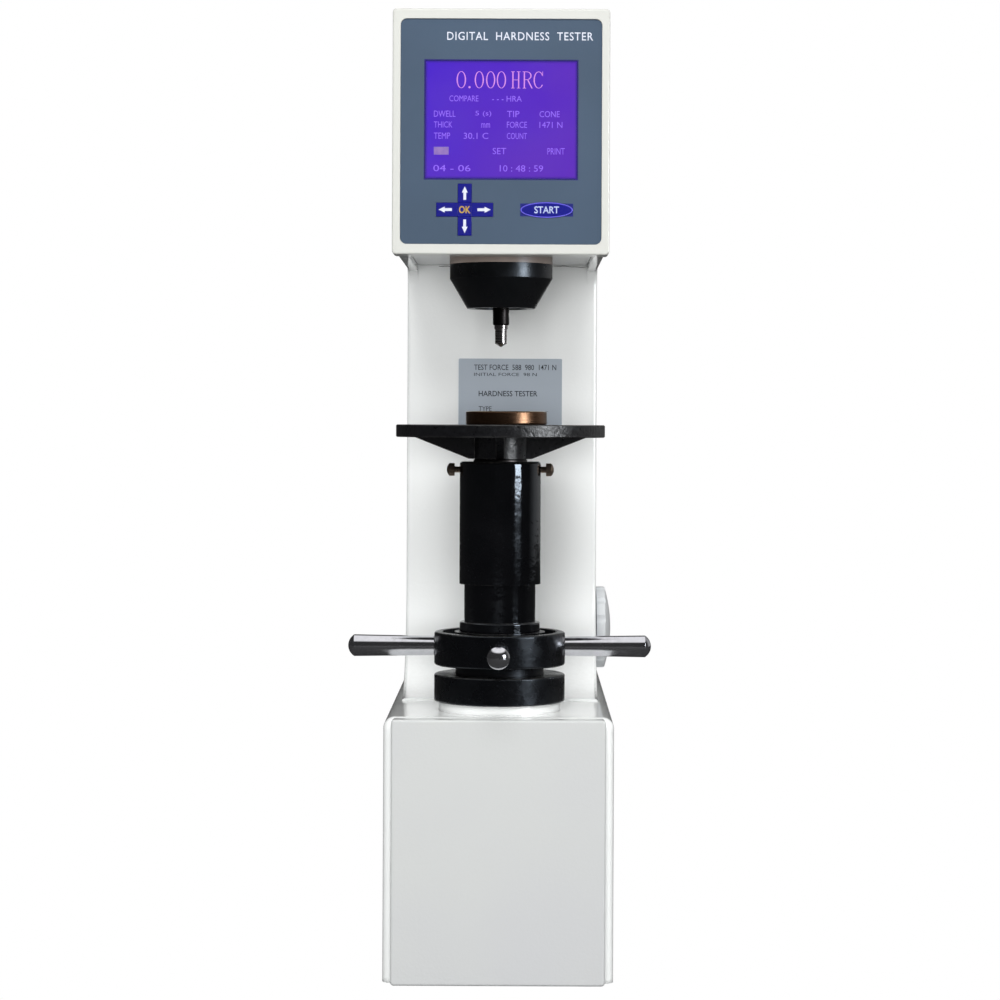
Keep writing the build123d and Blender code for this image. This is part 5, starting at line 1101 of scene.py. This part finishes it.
@dataclass
class Fittings(Trim):
    """Small trim: the mounting band, the joint under the head, knurls and the marks of the force selector."""

    band_radius: float = 42.3 * MM
    band_wall: float = 0.4 * MM
    band_low: float = 574.9 * MM
    band_height: float = 2.6 * MM
    joint_z: float = 583.0 * MM
    joint_fall: float = 0.7 * MM
    joint_thick: float = 0.3 * MM
    joint_depth: float = 0.06 * MM
    joint_steps: int = 24
    joint_runs: tuple[Point2, ...] = ((44.0 * MM, 81.0 * MM), (-56.0 * MM, -43.5 * MM))
    joint_waves: tuple[Point2, ...] = ((0.25 * MM, 260.0), (0.15 * MM, 610.0))
    column_front: float = 154.0 * MM
    knurl_z: float = 407.2 * MM
    knurl_start: float = 37.7 * MM
    knurl_length: float = 3.9 * MM
    knurl_low: float = 4.9 * MM
    knurl_high: float = 5.25 * MM
    knurl_ribs: int = 28
    selector: Point2 = (222.0 * MM, 262.0 * MM)
    dial_front: float = 84.0 * MM
    column_side: float = 83.0 * MM
    mark_depth: float = 0.05 * MM
    number_radius: float = 49.0 * MM
    number_half: Point2 = (1.6 * MM, 2.3 * MM)
    tick: Point2 = (37.0 * MM, 39.4 * MM)
    tick_half: float = 0.35 * MM
    stops: tuple[tuple[str, float], ...] = (("588", 0.0), ("980", 60.0), ("1471", 120.0))

    def band(self) -> None:
        """Lower edge of the mounting ring, which laps over the chuck cover."""
        ring = Piece("mounting_band")
        inner, hub = self.band_radius - self.band_wall, (0.0, 0.0)
        ring.band(ellipse(hub, (self.band_radius, self.band_radius)), ellipse(hub, (inner, inner)))
        matrix = Face((0.0, 0.0, self.band_low), up=ALONG_Y).matrix(self.band_height)
        ring.make(self.finishes["band_enamel"], "frame", matrix, smooth=True)

    def joint(self) -> None:
        """Uneven dark joint where the underplate of the head meets the column."""
        line = Piece("head_joint")
        for start, end in self.joint_runs:
            upper, lower = [], []
            for i in range(self.joint_steps + 1):
                along = i / self.joint_steps
                u = start + (end - start) * along
                wave = sum(height * math.sin(u * pace) for height, pace in self.joint_waves)
                thick = self.joint_thick * (0.35 + 0.65 * math.sin(math.pi * along) ** 0.5)
                middle = self.joint_z - self.joint_fall * along + wave
                upper.append((u, middle + thick))
                lower.append((u, middle - thick))
            line.prism(lower + upper[::-1])
        line.make(self.finishes["joint_grey"], "frame", Face((0.0, self.column_front, 0.0)).matrix(self.joint_depth))

    def knurls(self) -> None:
        """Knurled grips on the two thumb screws."""
        outline = []
        for i in range(2 * self.knurl_ribs):
            radius = self.knurl_high if i % 2 else self.knurl_low
            angle = math.pi * i / self.knurl_ribs
            outline.append((radius * math.cos(angle), radius * math.sin(angle)))
        starts = {"right_knurl": self.knurl_start, "left_knurl": -self.knurl_start - self.knurl_length}
        for name, start in starts.items():
            grip = Piece(name)
            grip.prism(outline)
            matrix = Face((start, 0.0, self.knurl_z), ALONG_Y).matrix(self.knurl_length)
            grip.make(self.finishes["screw_bronze"], "lift", matrix)

    def dial_spot(self, degrees: float, out: float, across: float = 0.0) -> Point2:
        """Place on the selector's side, turned clockwise from the top, so far out from its axis and across."""
        sine, cosine = math.sin(math.radians(degrees)), math.cos(math.radians(degrees))
        return self.selector[0] + sine * out + cosine * across, self.selector[1] + cosine * out - sine * across

    def selector_marks(self) -> None:
        """Force numbers beside the dial and a tick on it for each."""
        numbers, ticks = Piece("force_numbers"), Piece("force_ticks")
        for text, degrees in self.stops:
            half = (len(text) * self.number_half[0], self.number_half[1])
            numbers.words(text, *box_round(self.dial_spot(degrees, self.number_radius), half), 0.01)
            corners = rectangle((self.tick[0], -self.tick_half), (self.tick[1], self.tick_half))
            ticks.prism([self.dial_spot(degrees, out, across) for out, across in corners])
        for piece, side in ((numbers, self.column_side), (ticks, self.dial_front)):
            piece.make(self.finishes["plate_ink"], "frame", Face((side, 0.0, 0.0), ALONG_Y).matrix(self.mark_depth))

    def build(self) -> None:
        """Builds all the fittings."""
        for part in (self.band, self.joint, self.knurls, self.selector_marks):
            part()


# ------------------------------------------------------------------ studio


class LampPart(Enum):
    """What a lamp does in the studio."""

    SOFT = "lights the matt surfaces"
    CARD = "is mirrored by the glossy ones"


@dataclass(frozen=True)
class Lamp:
    """A rectangular lamp: its place, the point it looks at, its width and height, and its power in watts."""

    name: str
    place: Point3
    aim: Point3
    size: Point2
    power: float
    part: LampPart = LampPart.SOFT
    colour: Point3 = (1.0, 1.0, 1.0)

    def build(self) -> None:
        """Adds the lamp to the scene."""
        data = bpy.data.lights.new(self.name, "AREA")
        data.shape = "RECTANGLE"
        data.size, data.size_y = self.size
        data.energy = self.power
        data.color = self.colour
        thing = bpy.data.objects.new(self.name, data)
        bpy.context.scene.collection.objects.link(thing)
        thing.visible_glossy = self.part is LampPart.CARD
        thing.visible_diffuse = self.part is LampPart.SOFT
        thing.location = self.place
        thing.rotation_mode = "QUATERNION"
        thing.rotation_quaternion = (Vector(self.aim) - Vector(self.place)).to_track_quat("-Z", "Y")


@dataclass
class Studio:
    """Camera, lamps, floor and surroundings."""

    picture: float = 1000.0
    focal: float = 2683.0
    centre: Point2 = (520.7, 423.8)
    eye: Point3 = (0.0165, -2.198, 0.4448)
    roll: float = 0.25
    sensor: float = 36.0
    floor_half: float = 6.0
    floor_tones: Point2 = (0.84, 0.86)
    floor_mirrored: float = 0.05
    floor_bounce: float = 0.25
    room_left: float = 0.02
    room_right: float = 0.3
    room_top: float = 0.5
    room_back: float = 0.85
    gloom: float = 0.036
    ceiling: float = 1.0
    ceiling_edge: Point2 = (0.66, 0.8)
    window: float = 0.35
    lamps: tuple[Lamp, ...] = (
        Lamp("front", (-0.25, -4.4, 0.5), (0.0, 0.0, 0.4), (1.8, 1.2), 122.0),
        Lamp("right", (2.1, -0.5, 0.9), (0.0, 0.0, 0.4), (0.9, 1.2), 6.0),
        Lamp("top", (0.0, -1.9, 2.0), (0.0, 0.1, 0.3), (1.0, 1.4), 40.0),
        Lamp("back", (0.2, 4.6, 0.6), (0.0, 0.25, 0.4), (1.8, 1.2), 54.0),
        Lamp("far_left", (-3.6, 1.0, 0.6), (0.0, 0.1, 0.4), (1.2, 1.2), 22.0),
        Lamp("far_right", (3.6, 1.0, 0.6), (0.0, 0.1, 0.4), (1.2, 1.2), 16.0),
    )
    cards: tuple[tuple[str, float, float, float], ...] = (
        ("strip", 0.63, 0.54, 13.5),
        ("strip_waist", 0.29, 0.09, 0.03),
        ("strip_foot", 0.085, 0.15, 0.35),
    )
    card_place: Point2 = (1.2, -0.96)
    card_width: float = 0.46
    card_colour: Point3 = (0.93, 0.965, 1.0)

    def camera(self) -> None:
        """Makes the camera: level, looking straight at the tester, with a small shift."""
        data = bpy.data.cameras.new("camera")
        data.sensor_width = self.sensor
        data.lens = self.focal / self.picture * self.sensor
        data.shift_x = (self.picture / 2 - self.centre[0]) / self.picture
        data.shift_y = (self.centre[1] - self.picture / 2) / self.picture
        data.clip_start, data.clip_end = 0.05, 60.0
        thing = bpy.data.objects.new("camera", data)
        bpy.context.scene.collection.objects.link(thing)
        upright = Matrix.Rotation(math.pi / 2, 4, "X") @ Matrix.Rotation(math.radians(self.roll), 4, "Z")
        thing.matrix_world = Matrix.Translation(self.eye) @ upright
        bpy.context.scene.camera = thing

    def surroundings(self) -> None:
        """White background; a room bright on the right, above and behind, and dark in what gloss mirrors."""
        world = bpy.data.worlds.new("studio")
        world.use_nodes = True
        world.cycles.sampling_method = "NONE"
        bpy.context.scene.world = world
        tree = Tree(world.node_tree)
        tree.tree.nodes.clear()
        path = tree.add("LightPath")
        x, y, z = tree.add("SeparateXYZ", {0: tree.add("TexCoord").outputs["Generated"]}).outputs
        # What lights the matt surfaces.
        side = tree.spread(x, -0.7, 0.7, self.room_left, self.room_right)
        overhead = tree.spread(z, 0.3, 0.9, 0.0, self.room_top)
        behind = tree.spread(y, 0.0, 0.5, 0.0, self.room_back)
        bright = tree.maths("MAXIMUM", tree.maths("ADD", side, overhead), behind)
        room = tree.add("CombineXYZ", {0: bright, 1: bright, 2: bright})
        # What the glossy ones mirror.
        ceiling = tree.spread(z, *self.ceiling_edge, 0.0, self.ceiling)
        beside = tree.maths("MULTIPLY", tree.spread(x, 0.2, 0.7), tree.spread(y, 0.0, 0.4))
        beside = tree.maths("MULTIPLY", beside, self.window)
        shine = tree.maths("ADD", tree.maths("MAXIMUM", ceiling, beside), self.gloom)
        mirror = tree.add("CombineXYZ", {0: shine, 1: shine, 2: shine})
        clear = tree.maths("MAXIMUM", path.outputs["Is Glossy Ray"], path.outputs["Is Transmission Ray"])
        colour = tree.mix(clear, room.outputs[0], mirror.outputs[0])
        colour = tree.mix(path.outputs["Is Camera Ray"], colour, grey(1.0))
        glow = tree.add("Background", {"Color": colour, "Strength": 1.0})
        tree.add("OutputWorld", {"Surface": glow.outputs[0]})

    def floor(self) -> None:
        """Pale floor that keeps the tester's shadow."""
        half = self.floor_half
        sheet = bpy.data.meshes.new("floor")
        corners = [(-half, -half, 0), (half, -half, 0), (half, half, 0), (-half, half, 0)]
        sheet.from_pydata(corners, [], [(0, 1, 2, 3)])
        thing = bpy.data.objects.new("floor", sheet)
        bpy.context.scene.collection.objects.link(thing)
        material = bpy.data.materials.new("floor")
        material.use_nodes = True
        tree = Tree(material.node_tree)
        tree.tree.nodes.clear()
        cloud = tree.add("TexNoise", {"Scale": 3.0, "Detail": 3.0})
        pale = tree.mix(cloud.outputs["Fac"], *(grey(tone) for tone in self.floor_tones))
        path = tree.add("LightPath")
        pale = tree.mix(path.outputs["Is Glossy Ray"], pale, grey(self.floor_mirrored))
        pale = tree.mix(path.outputs["Is Diffuse Ray"], pale, grey(self.floor_bounce))
        matt = tree.add("BsdfDiffuse", {"Color": pale})
        white = tree.add("Emission", {"Color": grey(1.0), "Strength": 1.0})
        both = tree.add("MixShader", {0: path.outputs["Is Camera Ray"], 1: matt.outputs[0], 2: white.outputs[0]})
        tree.add("OutputMaterial", {"Surface": both.outputs[0]})
        sheet.materials.append(material)

    def build(self) -> None:
        """Builds the whole studio."""
        self.camera()
        self.surroundings()
        self.floor()
        for lamp in self.lamps:
            lamp.build()
        for name, height, tall, power in self.cards:
            place, aim, size = (*self.card_place, height), (0.0, 0.0, height), (self.card_width, tall)
            Lamp(name, place, aim, size, power, LampPart.CARD, self.card_colour).build()
        bpy.context.scene.view_settings.view_transform = "Standard"
        log.info("studio built")


def main() -> None:
    """Builds the tester's looks and the studio."""
    logging.basicConfig(level=logging.INFO, format="%(name)s %(message)s")
    shelf = EffectShelf()
    finishes = {finish.name: finish.material(shelf) for finish in PAINTS + METALS + PLASTICS + INKS}
    dress_frame(finishes)
    Overlay(finishes).build()
    ColumnPlate(finishes).build()
    Fittings(finishes).build()
    Studio().build()


if __name__ == "__main__":
    main()
